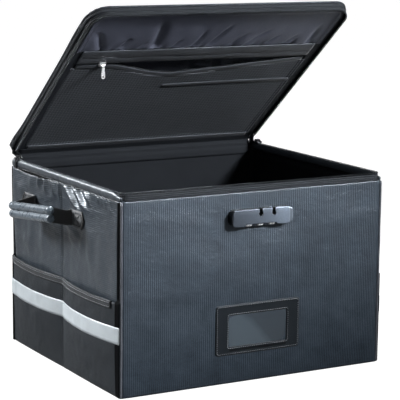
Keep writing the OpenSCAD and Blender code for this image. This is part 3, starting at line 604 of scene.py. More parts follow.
# Folds of the side cloth: from (y, z) to (y, z), height and width
FOLDS = [(-9, 287, -55, 252, 4.4, 4.6), (-41, 287, -84, 257, 4.8, 4.6), (-70, 288, -97, 268, 3.2, 3.8),
         (-116, 288, -123, 276, 2.2, 3.0), (-16, 226, -72, 206, 1.6, 5.0), (-25, 211, -67, 193, 1.6, 4.0),
         (86, 287, 86, 266, 3.0, 3.4), (63, 287, 60, 262, 3.6, 4.2), (36, 288, 24, 262, 3.6, 5.0),
         (12, 288, 9, 260, 3.0, 2.8), (-91, 232, -91, 180, 1.2, 6.0), (110, 287, 118, 262, 1.6, 6.0),
         (-26, 287, -62, 257, -3.0, 3.5), (-58, 287, -86, 264, -2.8, 3.2), (48, 287, 42, 262, -2.0, 3.5),
         (74, 287, 74, 266, -1.8, 3.0), (150, 262, 120, 222, 1.6, 8.0), (140, 180, 110, 160, 1.2, 7.0),
         (-128, 288, -134, 272, 1.6, 3.0), (-141, 287, -147, 269, 1.8, 3.6), (-156, 286, -161, 262, 1.5, 4.0),
         (-78, 226, -62, 188, 1.7, 5.0), (-101, 226, -98, 168, 1.4, 6.0), (-132, 232, -129, 152, 1.3, 8.0),
         (62, 226, 76, 172, 1.5, 8.0), (112, 222, 120, 160, 1.5, 8.0)]


def fold_height(y, z):
    out = 0.0
    for y0, z0, y1, z1, amp, wide in FOLDS:
        dy, dz = y1 - y0, z1 - z0
        ln = math.hypot(dy, dz)
        t = ((y - y0) * dy + (z - z0) * dz) / (ln * ln)
        d = ((y - y0) * dz - (z - z0) * dy) / ln
        fade = smooth(-0.15, 0.12, t) * (1 - smooth(0.55, 1.15, t))
        out += amp * fade * gauss(d, wide)
    return out


def side_off(side, y, z):
    """The side cloth: two soft halves, the crease between them, folds below the rim, flat where patches are sewn."""
    half = 1 - (2 * abs(y) / SIDE_HALF - 1) ** 2
    puff = 2.6 * max(0.0, half) ** 0.7 * smooth(0, 60, z) * (1 - 0.75 * smooth(240, 286, z))
    crease = -0.8 * gauss(y - 3, 1.5) * (1 - smooth(255, 286, z))
    top = 1.6 * gauss(y - 6, 40) * smooth(215, 286, z)
    rear = 4.5 * gauss(y - 172, 22) * smooth(130, 240, z) + 2.0 * gauss(y - 130, 35) * gauss(z - 262, 26)
    corner = -3.0 * smooth(174, SIDE_HALF, abs(y)) ** 2
    folds = fold_height(y, z) if side < 0 else 0.8 * fold_height(y + 6, z - 3)
    drift = 0.9 * n3(y / 45, z / 90, 7.0 + side) + 0.45 * n3(y / 16, z / 40, 3.0 + side)
    sewn = (1 - smooth(19, 27, abs(abs(y - HANDLE_Y) - 87))) * (1 - smooth(11, 19, abs(z - HANDLE_Z)))
    loose = 1 - 0.9 * sewn
    return puff + crease + top + rear + corner + folds * loose + drift * loose * (1 - smooth(170, SIDE_HALF, abs(y)))


def side_top(side, y):
    """Height of the side cloth's turned-in top edge: it hangs a little away from the rim towards the rear."""
    return 286.6 - 3.6 * smooth(22, 70, y) * (1 - smooth(120, 186, y)) + 0.5 * n3(y / 18, side)


def pocket_off(side, y, z):
    """The side pocket: two bows, each fuller at its top, tucked in at the floor."""
    t = (abs(y) - 96) / 95
    bow = 11.6 * max(0.0, 1 - t * t) ** 0.9
    low = 0.5 + 0.5 * smooth(0, 75, z)
    tuck = smooth(0, 7, z) ** 0.5
    wrinkle = 0.8 * n3(y / 30, z / 22, 11 + side) + 0.35 * n3(y / 11, z / 15, 4 + side)
    pull = 0.9 * gauss(z - 118, 8) * gauss(abs(y) - 60, 20)
    return (bow * low + (wrinkle + pull) * max(0.0, 1 - t * t)) * tuck + 0.8


def front_pt(x, z):
    return mm(x, -HY - front_off(x, z), z)


def back_pt(x, z, lift=0.0):
    return mm(x, HY + back_off(x, z) + lift, z)


def side_pt(side, y, z, lift=0.0):
    return mm(side * (HX + side_off(side, y, z) + lift), y, z)


def pocket_pt(side, y, z, lift=0.0):
    return mm(side * (HX + pocket_off(side, y, z) + lift), y, z)


# Wall cloths
sheet("front_cloth", 110, 72, lambda a, b: front_pt(FRONT_HALF * (2 * a - 1), FRONT_TOP * b), CLOTH_T,
      "cloth_front", "case", ["front_cover"])
sheet("back_cloth", 90, 60, lambda a, b: back_pt(BACK_HALF * (1 - 2 * a), BACK_TOP * b), CLOTH_T,
      "cloth_front", "case", ["back_cover"])


def side_cloth(side, nm):
    def place(a, b):
        y = side * SIDE_HALF * (2 * a - 1)
        return side_pt(side, y, side_top(side, y) * b)

    sheet(nm + "_cloth", 150, 110, place, CLOTH_T, "cloth_side", "case", [nm + "_cover"])


def corner(side, end, tag):
    """Upright corner: a welt in the seam, and on the side wall beside it a black strip that stands in for the shade
    where the side cloth turns in: painted shade.
    """
    pts = [mm(side * (HX - 1.4 + 0.3 * n3(z / 40, side, end)), end * (HY - 1.3 + 0.3 * n3(z / 30, end, side)), z)
           for z in span(0.6, 287, 60)]
    first = tag == "left_front"
    make(tag + "_welt", tube_data(pts, 1.8), "welt", "case", ["corner_piping"] if first else ())
    start = 180.5 if end < 0 else 184.5

    def tape(a, b):
        y, z = end * (start + (POCKET_HALF - start) * a), 0.8 + 285.5 * b
        over = max(side_off(side, y, z), pocket_off(side, y, z) if z < 141 else -9.0)
        return mm(side * (HX + over + 0.7), y, z)

    # Painted shade: a black strip beside the corner.
    sheet(tag + "_edge_tape", 8, 90, tape, 0.8, "painted_shade_black", "case")


def rim_binding(side, nm):
    """Rolled binding along a side rim, with its seam in the middle and a taper towards the front."""
    rings = []
    for y in span(-188.5, 189.5, 150):
        taper = smooth(-166, -187, y)
        pinch = (1 - 0.13 * gauss(y - 12, 1.4)) * (1 - 0.55 * taper)
        z0 = 292.6 + 0.3 * n3(y / 25, side)
        ring = []
        for a, b in circle(16):
            x = 223.0 + a * 3.9 * pinch
            if a > 0:
                x += 0.35 * n3(y / 9, b, side) + 1.0 * gauss(y - 60, 60) * (b + 0.4)
            flat = math.copysign(abs(b) ** 0.75, b)
            ring.append(mm(side * x, y, z0 - 1.8 * taper + flat * 6.4 * pinch))
        rings.append(ring)
    # Black facing inside the slit below the binding, which hides the board: painted shade, so the slit reads dark.
    sheet(nm + "_rim_shade_facing", 60, 4, lambda a, b: mm(side * (HX - 0.3), 8 + 160 * a, 262 + 26 * b), 0.5,
          "painted_shade_black", "case")
    edge = [side_pt(side, y, side_top(side, y) - 0.4, 0.1) for y in span(-172, 178, 150)]
    make(nm + "_cloth_edge", tube_data(edge, 0.9, 8), "binding", "case")
    make(nm + "_rim_binding", loft(rings), "binding", "case", ["side_binding"] if side < 0 else (),
         fix=True)


for side, nm, out in SIDES:
    side_cloth(side, nm)
for side, nm, out in SIDES:
    corner(side, -1, nm + "_front")
    corner(side, 1, nm + "_back")
for side, nm, out in SIDES:
    rim_binding(side, nm)


# Zip round the rim of the body
def rim_path(inset, z):
    return [mm(-x, -d, z) for x, d in u_points(HX - inset, HY - inset, RIM_R - inset, RIM_R - HY, 10, 130)]


def rim_out(p):
    if abs(p.x * 1000) > HX - 5:
        return OUT_L if p.x < 0 else OUT_R
    return OUT_F


ribbon("rim_zip_tape", rim_path(1.4, 285.2), rim_path(1.4, 297.4), 1.1, 6, "tape", "case",
       ["body_zip_tape"])
make("rim_zip_coil", coil_data(rim_path(2.1, 299.0), Vector((0, 0, 1))), "coil", "case",
     ["body_zip_coil"])
for k, z in enumerate((290.6, 293.4, 296.2)):
    stitches(f"rim_tape_stitch_{k + 1}", [rim_path(1.2, z)], rim_out, "case", "thread_dark", "zip_tape", pitch=3.0,
             length=2.2, r=0.28)
top_edge = [front_pt(x, 288.4) - OUT_F * 0.0006 for x in span(-219, 219, 130)]
make("front_cloth_edge", tube_data(top_edge, 1.2, 8), "tape", "case")
stitches("front_top_stitch", [[front_pt(x, 286.3) for x in span(-218, 218, 120)]], OUT_F, "case", "thread_dark",
         pitch=3.2)
for side, nm, out in SIDES:
    stitches(nm + "_rim_stitch", [[mm(side * (HX + 1.75), y, 287.4) for y in span(-176, 188, 120)]], out, "case")
    stitches(nm + "_crease_stitch", [[side_pt(side, y, z) for z in span(142, 280, 60)] for y in (0.6, 5.4)], out,
             "case", "thread_dark", "zip_tape", pitch=3.6)


# Label holder: padded cloth frame, film window, two rows of stitches
def label_ring(w, h, r, z):
    return round_rect(FRONT_X - w / 2, FRONT_X + w / 2, z - h / 2, z + h / 2, (r,) * 4, 8)


def on_front(x, z, h):
    return mm(x, -HY - 0.1 - h, z)


WINDOW_Z = LABEL_Z - 2
rings = []
for inset, h in ((0, 0.0), (0, 1.0), (0.5, 1.6), (1.6, 2.0), (4, 1.9), (6, 1.75)):
    ring = label_ring(LABEL_W - 2 * inset, LABEL_H - 2 * inset, max(0.8, 5 - inset), LABEL_Z)
    rings.append([on_front(x, z, h) for x, z in ring])
for grow, h in ((7, 1.75), (3, 1.9), (1.2, 2.0), (0.3, 1.7), (0, 1.1), (0, 0.0)):
    ring = label_ring(WINDOW_W + 2 * grow, WINDOW_H + 2 * grow, 2 + grow, WINDOW_Z)
    rings.append([on_front(x, z, h) for x, z in ring])
make("label_frame_cloth", loft(rings, closed=True), "cloth_frame", "case", ["label_frame"], fix=True)
rows = []
for w, h, z in ((LABEL_W - 5, LABEL_H - 5, LABEL_Z), (WINDOW_W + 4, WINDOW_H + 4, WINDOW_Z)):
    row = [on_front(x, z, 1.85) for x, z in densify(label_ring(w, h, 3, z), 6)]
    rows.append(row + row[:1])
stitches("label_stitches", rows, OUT_F, "case", pitch=3.2)
cad("label_window", "film")

# Section of the bound hem on the pocket's top edge: distance out, height
HEM = [(1.1, 130.2), (1.3, 136.0), (1.3, 140.4), (0.6, 141.6), (-0.8, 141.8), (-2.0, 141.2), (-2.4, 139.0),
       (-2.4, 130.5)]


def pocket(side, nm, out):
    """Side pocket with its bound hem, reflective strip and stitched seams."""
    def across(a):
        return side * POCKET_HALF * (2 * a - 1)

    def hem(a, b):
        y = -171.5 + 362 * (a if side > 0 else 1 - a)
        d, z = along(HEM, b)
        return mm(side * (HX + pocket_off(side, y, min(z, POCKET_TOP)) + d), y, z)

    def strip(a, b):
        y = across(a)
        return pocket_pt(side, y, STRIP_Z + STRIP_H * b, 0.8 + 1.5 * smooth(158, 170, -side * y))

    def cloth_pt(a, b):
        return pocket_pt(side, across(a), POCKET_FOOT + (POCKET_TOP - POCKET_FOOT) * b)

    sheet(nm + "_pocket_cloth", 150, 56, cloth_pt, CLOTH_T, "cloth_pocket", "case", [nm + "_pocket"])
    sheet(nm + "_hem_tape", 150, 14, hem, 0.5, "hem", "case", [nm + "_pocket_hem"])
    sheet(nm + "_strip", 150, 6, strip, 0.6, "reflective", "case", [nm + "_reflective_strip"])
    ys = span(-189, 189, 150)
    stitches(nm + "_hem_stitches", [[pocket_pt(side, y, z, 1.3) for y in ys if y > -170] for z in (132.6, 138.8)],
             out, "case", slot="piping", pitch=4.2, length=3.0, r=0.42)
    stitches(nm + "_strip_stitches", [[pocket_pt(side, y, z, 0.8) for y in ys] for z in (81.6, 103.4)], out, "case",
             slot="piping", pitch=3.6)
    stitches(nm + "_pocket_seams", [[pocket_pt(side, y, z) for z in span(6, 129, 50)] for y in (-186, -3, 3, 186)],
             out, "case", "thread_dark", "zip_tape", pitch=3.6)


# Outline of an anchor patch, from the strap to its pointed end
PATCH = [(0, -12.5), (33, -12.5), (41, 0), (33, 12.5), (0, 12.5)]


def patches(side, nm, out):
    """Two stitched anchor patches with pointed, edged ends and a roll where the strap comes out."""
    parts, seams, tips = [], [], []
    for end in (-1, 1):
        def at(a, b, h):
            return side_pt(side, HANDLE_Y + end * (67 + a), HANDLE_Z + b, h - 0.3)

        parts.append(plate_data(densify(PATCH, 3), 2.3, 0.9, at))
        box = ((4, -9.5), (31, -9.5), (36.5, 0), (31, 9.5), (4, 9.5), (4, -9.5))
        for line in (box, ((5, -9), (30, 9)), ((5, 9), (30, -9))):
            seams.append([at(a, b, 2.35) for a, b in line])
        tip = [at(a, b, 1.6) for a, b in ((32.5, -12.5), (36.8, -6.2), (41, 0), (36.8, 6.2), (32.5, 12.5))]
        tips.append(tube_data(tip, 1.7, 8))
        parts.append(tube_data([at(-1.5, b, 2.0) for b in span(-12.3, 12.3, 8)], 2.5))
    make(nm + "_patches", join_data(parts), "patch", "case", [nm + "_handle_anchors"], fix=True)
    make(nm + "_patch_edges", join_data(tips), "webbing", "case", fix=True)
    stitches(nm + "_patch_stitches", seams, out, "case", "thread_dark", pitch=2.8, length=2.5, r=0.62)


def strap(side, nm, end):
    """One leg of the strap, from its patch out to the grip."""
    near, far = 2.6, HANDLE_OUT - 4.5

    def leg(a, b):
        d = near + (far - near) * a
        drop = end * GRIP_RISE * max(0.0, (d - 12) / (HANDLE_OUT - 12))
        y = HANDLE_Y + end * (66.3 - 1.2 * math.sin(math.pi * a))
        return mm(side * (HX + d), y, HANDLE_Z - drop + (-12 + 24 * b) * (1 - 0.05 * math.sin(math.pi * a)))

    obj = sheet(f"{nm}_strap_{'front' if end < 0 else 'rear'}", 22, 8, leg, 2.2, "webbing", None,
                [nm + "_handle_strap"] if end < 0 else ())
    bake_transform(obj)


def grip(side, nm, out):
    """Padded grip of two rolls, which stands higher at its front end."""
    body = nm + "_handle"

    def tilt(away, ahead, up):
        return mm(side * (HX + HANDLE_OUT + away),
                  HANDLE_Y + ahead * math.cos(GRIP_TILT) + up * math.sin(GRIP_TILT),
                  HANDLE_Z - ahead * math.sin(GRIP_TILT) + up * math.cos(GRIP_TILT))

    def roll(degrees, up):
        a = math.radians(degrees)
        return GRIP_R * math.cos(a), up * GRIP_R + GRIP_R * math.sin(a)

    section = [roll(a, 1) for a in span(-74, 254, 14)] + [roll(a, -1) for a in span(106, 434, 14)]
    rings = []
    for t in [-1.0, -0.995, -0.985] + span(-0.97, 0.97, 60) + [0.985, 0.995, 1.0]:
        y = t * GRIP_HALF
        k = 0.9 if abs(t) == 1 else 0.97 if abs(t) > 0.99 else 0.99 if abs(t) > 0.98 else 1.0
        k *= 1 - 0.05 * gauss(abs(y) - 60, 1.0)
        ring = []
        for a, b in section:
            size = k * (1 + 0.006 * n3((HANDLE_Y + y) / 9, a / 6, b / 6))
            ring.append(tilt(a * size, y, b * size))
        rings.append(ring)
    pad = make(nm + "_grip_pad", loft(rings), "vinyl", body, [nm + "_grip"], fix=True)

    def from_roll(up):
        core = mm(side * (HX + HANDLE_OUT), 0, HANDLE_Z + up * GRIP_R)
        return lambda p: Vector((p.x - core.x, 0, p.z - core.z))

    runs = [([tilt(2.3, y, dz) for y in span(-69, 69, 40)], out) for dz in (-1.3, 1.3)]
    for y in (-60, 60):
        for up in (-1, 1):
            bands = [roll(a, up) for a in span(-70, 70, 10)]
            runs.append(([tilt(a, y, b) for a, b in bands], from_roll(up)))
    rows = [one for line, normal in runs for one in stitch_row(line, normal, pitch=2.8, length=2.0)]
    make(nm + "_grip_stitches", join_data(rows), "thread_dark", body)


for side, nm, out in SIDES:
    pocket(side, nm, out)
for side, nm, out in SIDES:
    patches(side, nm, out)
    strap(side, nm, -1)
    strap(side, nm, 1)
    grip(side, nm, out)

# Lid outer cloth: gusset band, rolled edge and softly crowned top
LID_ARC = 14


def lid_outline(inset, n=LID_ARC):
    front_r, rear_r = max(2.0, LID_R - inset), max(2.0, LID_REAR_R - inset)
    return round_rect(inset - HX, HX - inset, inset, LID_L - inset, (front_r, front_r, rear_r, rear_r), n)


def lid_ring(inset, w, soft=0.0):
    """Ring round the lid: soft ruffles it, most of all round the front corners."""
    out = []
    for x, v in divided(lid_outline(inset), lambda i, length: 26 if i % (LID_ARC + 1) == LID_ARC else 1):
        height = w(x, v) if callable(w) else w
        turn = gauss(abs(x) - (HX - 8), 14) * gauss(v - (LID_L - 8), 22)
        height += soft * (0.5 * n3(x / 30, v / 30, height / 6) + 2.2 * turn * math.sin((x + v) / 2.1))
        swell = 3.0 * gauss(v - 26, 20) + 1.6 * gauss(v - 320, 30) if inset < 3 and abs(x) > HX - 35 else 0
        clear = 1.7 * (1 - smooth(0, 14, v))
        out.append(lid(x + math.copysign(swell, x), v + clear, height))
    return out


def skirt_low(x, v):
    return 9.6 if v > 12 else 2.4 + (9.6 - 2.4) * smooth(2, 12, v)


def top_w(x, v):
    e = min(HX - abs(x), v, LID_L - v)
    return 19.6 + 2.2 * (1 - math.exp(-max(0.0, e - 6) / 40)) + 0.7 * n3(x / 70, v / 70, 1.0) * smooth(4, 40, e)


def from_lid_centre(p):
    away = p - lid(0, LID_L / 2, 10)
    dv = away.dot(LID_T)
    if HX - abs(p.x * 1000) < LID_L / 2 - abs(dv * 1000):
        return OUT_R if p.x > 0 else OUT_L
    return LID_T * (1 if dv > 0 else -1)


def lid_path(inset, w):
    return [lid(x, v, w) for x, v in u_points(HX - inset, LID_L - inset, LID_R - inset, 14.3, LID_ARC, 120)]


rings = [lid_ring(2.2, skirt_low), lid_ring(0.6, skirt_low), lid_ring(0.1, lambda x, v: skirt_low(x, v) + 1.0),
         lid_ring(-0.2, 13.0, 0.3), lid_ring(0.0, 16.6, 0.3), lid_ring(1.2, 16.8)]
make("lid_gusset", loft(rings, first=False, last=False), "lid_tape", "lid", fix=True)
rings = [lid_ring(1.4, 16.4), lid_ring(-0.3, 16.6), lid_ring(-0.5, 17.6, 0.4), lid_ring(0.4, 18.9, 0.4),
         lid_ring(2.4, 19.7, 0.4)]
rings += [lid_ring(inset, top_w) for inset in (6, 12, 20, 32, 48, 70, 95, 120, 150, 175, 190)]
make("lid_top_cloth", loft(rings, first=False), "cloth_lid", "lid", ["lid_cover"], fix=True)
make("lid_edge_welt", tube_data(lid_ring(0.1, 17.0), 1.5, 8, closed=True), "piping", "lid")
upper = lid_ring(-0.3, 14.8)
stitches("lid_gusset_stitches", [upper + upper[:1], lid_ring(-0.3, 12.2)], from_lid_centre, "lid", "thread_dark",
         "zip_tape", pitch=3.2)
ribbon("lid_zip_tape_cloth", lid_path(1.5, 11.0), lid_path(1.5, 3.2), 1.1, 4, "tape", "lid",
       ["lid_zip_tape"])
make("lid_zip_coil_wire", coil_data(lid_path(2.1, 2.0), LID_N), "coil", "lid", ["lid_zip_coil"])
stitches("lid_tape_stitches", [lid_path(1.3, w) for w in (5.2, 8.2)], from_lid_centre, "lid", "thread_dark",
         "zip_tape", pitch=3.0)


# Padded border round the inside of the lid
def border_ring(k, w):
    """Ring at the share k of the way from the lid's outline to the border's inner rectangle, w out from the lid."""
    inner = round_rect(-MESH_X, MESH_X, BORDER_NEAR, BORDER_FAR, (4.0,) * 4, 6)
    ring = [(a + (c - a) * k, b + (d - b) * k) for (a, b), (c, d) in zip(lid_outline(3.2, 6), inner)]
    return [lid(x, v, w + 0.35 * n3(x / 25, v / 25, k))
            for x, v in divided(ring, lambda i, length: 40 if length > 60 else 1)]


rings = [border_ring(k, w) for k, w in ((0.0, 14.0), (0.0, 8.6), (0.06, 7.2), (0.25, 6.5), (0.5, 6.2), (0.75, 6.4),
                                        (0.94, 7.1), (1.0, 8.4), (1.0, 14.0))]
make("lid_border_pad", loft(rings, first=False, last=False), "border", "lid", ["lid_border"],
     fix=True)
rows = [border_ring(0.14, 6.75), border_ring(0.86, 6.7)]
stitches("lid_border_stitches", [row + row[:1] for row in rows], -LID_N, "lid", "thread_dark", "zip_tape", pitch=3.2)

# Gathered satin panel: puckers at the elastic edge run out into broad soft folds
SATIN_X, SATIN_FAR = 215.0, BORDER_FAR + 4
PUCKERS = [-196, -176, -159, -141, -127, -104, -90, -71, -58, -38, -22, -5, 14, 31, 52, 66, 88, 104, 121, 143, 160,
           181, 197]
# Each valley: place, depth, width, lean and reach
VALLEYS = [(-176, 4.0, 4.5, -0.5, 46), (-150, 3.2, 3.5, 0.35, 30), (-118, 2.0, 3.0, 0.5, 22),
           (-88, 6.0, 6.0, -0.12, 72), (-52, 2.0, 2.6, 0.4, 22), (-24, 2.6, 3.2, 0.25, 44), (6, 3.2, 3.0, 0.3, 58),
           (44, 2.0, 4.0, 0.5, 34), (74, 1.6, 3.4, 0.65, 44), (112, 1.6, 3.0, 0.5, 28), (150, 1.6, 3.4, 0.3, 26),
           (184, 2.4, 4.0, 0.2, 50)]


def satin_w(x, v):
    d = v - GATHER_V
    w = 7.4 + 0.8 * smooth(0, 60, d)
    for i, p in enumerate(PUCKERS):
        lean = p + d * (0.05 + 0.16 * math.sin(i * 1.7))
        amp = (1.8 + 0.6 * math.sin(i * 2.3)) * (1 if i % 3 else -0.6)
        w += amp * gauss(x - lean, 2.6 + d * 0.10) * math.exp(-d / (9 + 5 * math.sin(i * 1.3)))
    for p, depth, wide, lean, reach in VALLEYS:
        t = x - p - lean * d - 4 * math.sin(d / 26 + p)
        fade = smooth(-4, 8, d) * (1 - smooth(0.6 * reach, 1.15 * reach, d))
        w += fade * (depth * gauss(t, wide) - 0.2 * depth * gauss(t + 2.6 * wide, 2.0 * wide))
    w += 0.7 * n3(x / 24, v / 40, 3.0)
    edge = smooth(0, 14, SATIN_X - abs(x)) * smooth(0, 10, SATIN_FAR - v)
    return min(12.6, 6.4 + (w - 6.4) * edge)


def satin_edge(v):
    """Half width of the satin at v: it follows the rounded corners of the lid."""
    r = 26
    over = min(r, max(0.0, v - (LID_L - LID_R)))
    return SATIN_X - (r - math.sqrt(r ** 2 - over ** 2))


def satin_pt(a, b):
    v = GATHER_V + (SATIN_FAR - GATHER_V + 1.2 * math.sin(9 * a) + 0.8 * math.sin(31 * a)) * b
    x = (2 * a - 1) * satin_edge(v)
    return lid(x, v, satin_w(x, v))


def lining_w(x, v):
    ruffle = gauss(v - 240, 13) * math.sin(x / 6.5 + v / 9 + 2.5 * n3(x / 24, 1.0)) * smooth(-60, 40, x)
    nearest = 11.8 if v > 238 else 9.6
    return min(12.9, max(nearest, 12.2 + 1.0 * n3(x / 35, v / 28, 6.0) + 2.6 * ruffle))


def satin_lining(a, b):
    v = 18 + (GATHER_V - 16) * b
    return lid((MESH_X + 2) * (2 * a - 1), v, lining_w(MESH_X * (2 * a - 1), v))


sheet("lid_satin_panel", 300, 48, satin_pt, -0.8, "satin", "lid", ["lid_gather"])
top_edge = [satin_pt(a, 1.0) - LID_N * 0.0004 for a in span(0.03, 0.97, 160)]
make("lid_satin_edge", tube_data(top_edge, 0.8, 8), "binding", "lid")
sheet("lid_satin_lining", 200, 110, satin_lining, -0.8, "satin_dark", "lid", ["lid_lining"])


# Pocket zip: upper band, coils and the sagging lower tape
def band_w(x, v):
    return (6.3 if v > ZIP_V + 18 else 7.3) + 0.4 * n3(x / 30, v / 12, 2.0)


for nm, near, far, replaced in (("band", ZIP_V + 16.5, GATHER_V + 1.5, ["lid_upper_band"]),
                                ("tape", ZIP_V + 3.2, ZIP_V + 18.5, ())):
    sheet("pocket_upper_" + nm, 120, 8,
          lambda a, b: lid(MESH_X * (2 * a - 1), near + (far - near) * b,
                           band_w(0, far) + 0.5 * n3(a * 9, b, near) - 0.8 * gauss(b - 0.5, 0.3)),
          -1.1, "pocket_tape", "lid", replaced)
stitches("pocket_band_stitches",
         [[lid(x, v, band_w(x, v) - 0.6) for x in span(2 - MESH_X, MESH_X - 2, 90)]
          for v in (ZIP_V + 6, ZIP_V + 15, ZIP_V + 20.5, GATHER_V - 2)], -LID_N, "lid", slot="zip_tape", pitch=3.2)
coil = [lid(x, ZIP_V + 2, 7.6) for x in span(1 - MESH_X, MESH_X - 1, 200)]
make("pocket_coil_upper", coil_data(coil, LID_T), "coil", "lid", ["pocket_upper_coil"])
SLIDER_X, SAG_X, SAG, END_X = -160.0, -20.0, 31.0, 196.0


def sag(x):
    """Share of the full sag at x: none at the slider, most at SAG_X, none at the far end."""
    if x < SAG_X:
        return smooth(SLIDER_X + 4, SAG_X + 6, x) * 0.6 + 0.4 * smooth(SLIDER_X + 4, SAG_X - 40, x)
    return max(0.0, 1 - (x - SAG_X) / (END_X - SAG_X)) * (1 - 0.05 * gauss(x - SAG_X, 16))


def hem_v(x):
    return ZIP_V - 2 - SAG * sag(x)


def hem_pt(x, drop, w=7.6):
    return lid(x, hem_v(x) - drop, w + 0.48 * smooth(0, 1, sag(x)) * math.sin(x / 17.0))


def net_pt(a, b):
    x = (MESH_X + 4) * (2 * a - 1)
    top = hem_v(max(-MESH_X, min(MESH_X, x))) - 9
    w = 6.5 + 0.5 * n3(MESH_X * (2 * a - 1) / 40, (17 + 200 * b) / 40, 8.0)
    return lid(x, 17 + (top - 17) * b, w)


sheet("pocket_lower_tape_cloth", 160, 4, lambda a, b: hem_pt((MESH_X - 3) * (2 * a - 1), 10.5 * (1 - b), 7.1), -1.0,
      "pocket_tape", "lid", ["pocket_lower_tape"])
coil = [hem_pt(x, 0) for x in span(4 - MESH_X, MESH_X - 4, 260)]
make("pocket_coil_lower", coil_data(coil, LID_T), "coil", "lid")
stitches("pocket_hem_stitches", [[hem_pt(x, 8.0, 6.9) for x in span(5 - MESH_X, MESH_X - 5, 120)]], -LID_N, "lid",
         slot="zip_tape", pitch=3.2)
sheet("pocket_net_panel", 120, 60, net_pt, -0.5, "mesh", "lid", ["pocket_mesh"])
sheet("pocket_seam_band", 110, 3, lambda a, b: lid(-30 + (MESH_X + 30) * a, 178 + 9 * b + 3 * math.sin(a * 2.2), 6.1),
      -0.6, "pocket_tape", "lid")
sheet("pocket_bottom_band", 110, 4, lambda a, b: lid(MESH_X * (2 * a - 1), 11 + 10 * b, 5.9 + 0.3 * n3(a * 20, 0)),
      -0.8, "pocket_tape", "lid")

# Inner hinge strip between the lid's border and the back wall, and the folded webs at its two ends
STRIP_PATH = [lid(0, 12.0, 5.6), lid(0, 7.0, 4.4), lid(0, 2.5, 3.0), mm(0, 190.2, 298.6), mm(0, 187.0, 295.0),
              mm(0, 185.4, 290.0), mm(0, 185.0, 280.0)]
WEB_LOW = [mm(0, 191.0, 287.0), mm(0, 187.0, 288.5), mm(0, 181.0, 291.0), mm(0, 174.0, 296.5)]
WEB_UP = [lid(0, 0.5, 6.0), lid(0, 2.0, 9.5), lid(0, 7.0, 6.0), lid(0, 15.0, 3.5)]


def hinge_strip(a, b):
    _, y, z = along(STRIP_PATH, b)
    return Vector((0.216 * (2 * a - 1), y, z))


def hinge_web(side, nm):
    def web(a, b):
        t = a * 2.999 / 3  # ends just short of the last points
        _, y, z = along([along(WEB_LOW, t), along(WEB_UP, t)], b)
        tuck = 1.6 * math.sin(math.pi * b) * (1 - 0.5 * a) + 0.4 * n3(a * 3, b * 4, side)
        return Vector((side * 0.001 * (HX - 1.2 - 5.0 * math.sin(math.pi * b) - tuck), y, z))

    obj = sheet(nm + "_hinge_web", 12, 14, web, 0.9, "tape", None)
    tuple(lid(side * 0.22, 6, 6))
    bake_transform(obj)


obj = sheet("inner_hinge_strip", 60, 18, hinge_strip, 0.8, "lining", None)
tuple(lid(0, 6, 4))
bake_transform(obj)
for side, nm, out in SIDES:
    hinge_web(side, nm)
make("hinge_roll", tube_data([mm(x, HINGE_Y, H) for x in span(-214, 214, 60)], 1.8, 12), "lining", "case",
     ["hinge_fold"])
stitches("back_hinge_stitches", [[back_pt(x, z, 0.1) for x in span(-216, 216, 100)] for z in (291, 284)], OUT_B,
         "case")

# Wall lining, from the back left corner round by the front: each wall's start, inward direction and length
LINING_X, LINING_Y = 218.6, 185.6
LINING = [((-LINING_X, LINING_Y), (1, 0), 2 * LINING_Y), ((-LINING_X, -LINING_Y), (0, 1), 2 * LINING_X),
          ((LINING_X, -LINING_Y), (-1, 0), 2 * LINING_Y), ((LINING_X, LINING_Y), (0, -1), 2 * LINING_X)]


def lining(a, b):
    s = a * sum(wall[2] for wall in LINING)
    i = 0
    while i < 3 and s > LINING[i][2]:
        s -= LINING[i][2]
        i += 1
    (x0, y0), (nx, ny), length = LINING[i]
    k = min(1.0, s / length)
    x, y = x0 + ny * length * k, y0 - nx * length * k
    z = 1.8 + ((297 if i == 3 else 286) - 1.8) * b
    d = 0.5 * n3(x / 50, y / 50, z / 60) * min(1.0, k * 8, (1 - k) * 8)
    return mm(x + nx * d, y + ny * d, z)


sheet("wall_lining_cloth", 176, 24, lining, -0.7, "lining", "case", ["wall_lining"], loop=True)
ribbon("rim_inner_fold", rim_path(3.0, 285.6), rim_path(6.9, 285.9), 0.7, 2, "lining", "case")
sheet("base_cloth", 40, 36,
      lambda a, b: mm(222 * (2 * a - 1), 189 * (2 * b - 1), 1.5 + 0.3 * n3(a * 9, b * 8, 4.0)), 1.3, "lining",
      "case", ["base_cover"])

# Numbers printed on the three dials, wrapped round each dial's rim
DIAL_Y, DIAL_Z = -HY - 6.2, LOCK_Z - 7.75
INK_LIFT = 0.00004


def digit_mesh(name, text):
    curve = bpy.data.curves.new(name, "FONT")
    curve.body = text
    curve.size = 0.0042
    curve.align_x, curve.align_y = "CENTER", "CENTER"
    tmp = add(name, curve)
    flat = bpy.data.meshes.new_from_object(tmp.evaluated_get(bpy.context.evaluated_depsgraph_get()))
    data = [vt.co.copy() for vt in flat.vertices], [tuple(p.vertices) for p in flat.polygons]
    bpy.data.objects.remove(tmp)
    bpy.data.curves.remove(curve)
    bpy.data.meshes.remove(flat)
    return data


for n in (1, 2, 3):
    x0 = (FRONT_X - 3.5 + (n - 2) * DIAL_PITCH) * 0.001
    r0 = DIAL_R * 0.001
    parts = []
    for d in range(10):
        points, faces = digit_mesh(f"digit_{n}_{d}", str((d + 3 * n) % 10))
        verts = []
        for co in points:
            turn = math.radians(36 * d - 72) + co.y / r0
            r = r0 + INK_LIFT
            verts.append(Vector((x0 + co.x, DIAL_Y * 0.001 - r * math.cos(turn), DIAL_Z * 0.001 + r * math.sin(turn))))
        parts.append((verts, faces))
    make(f"dial_{n}_numbers", join_data(parts), "ink", f"dial_{n}", smooth_faces=False)

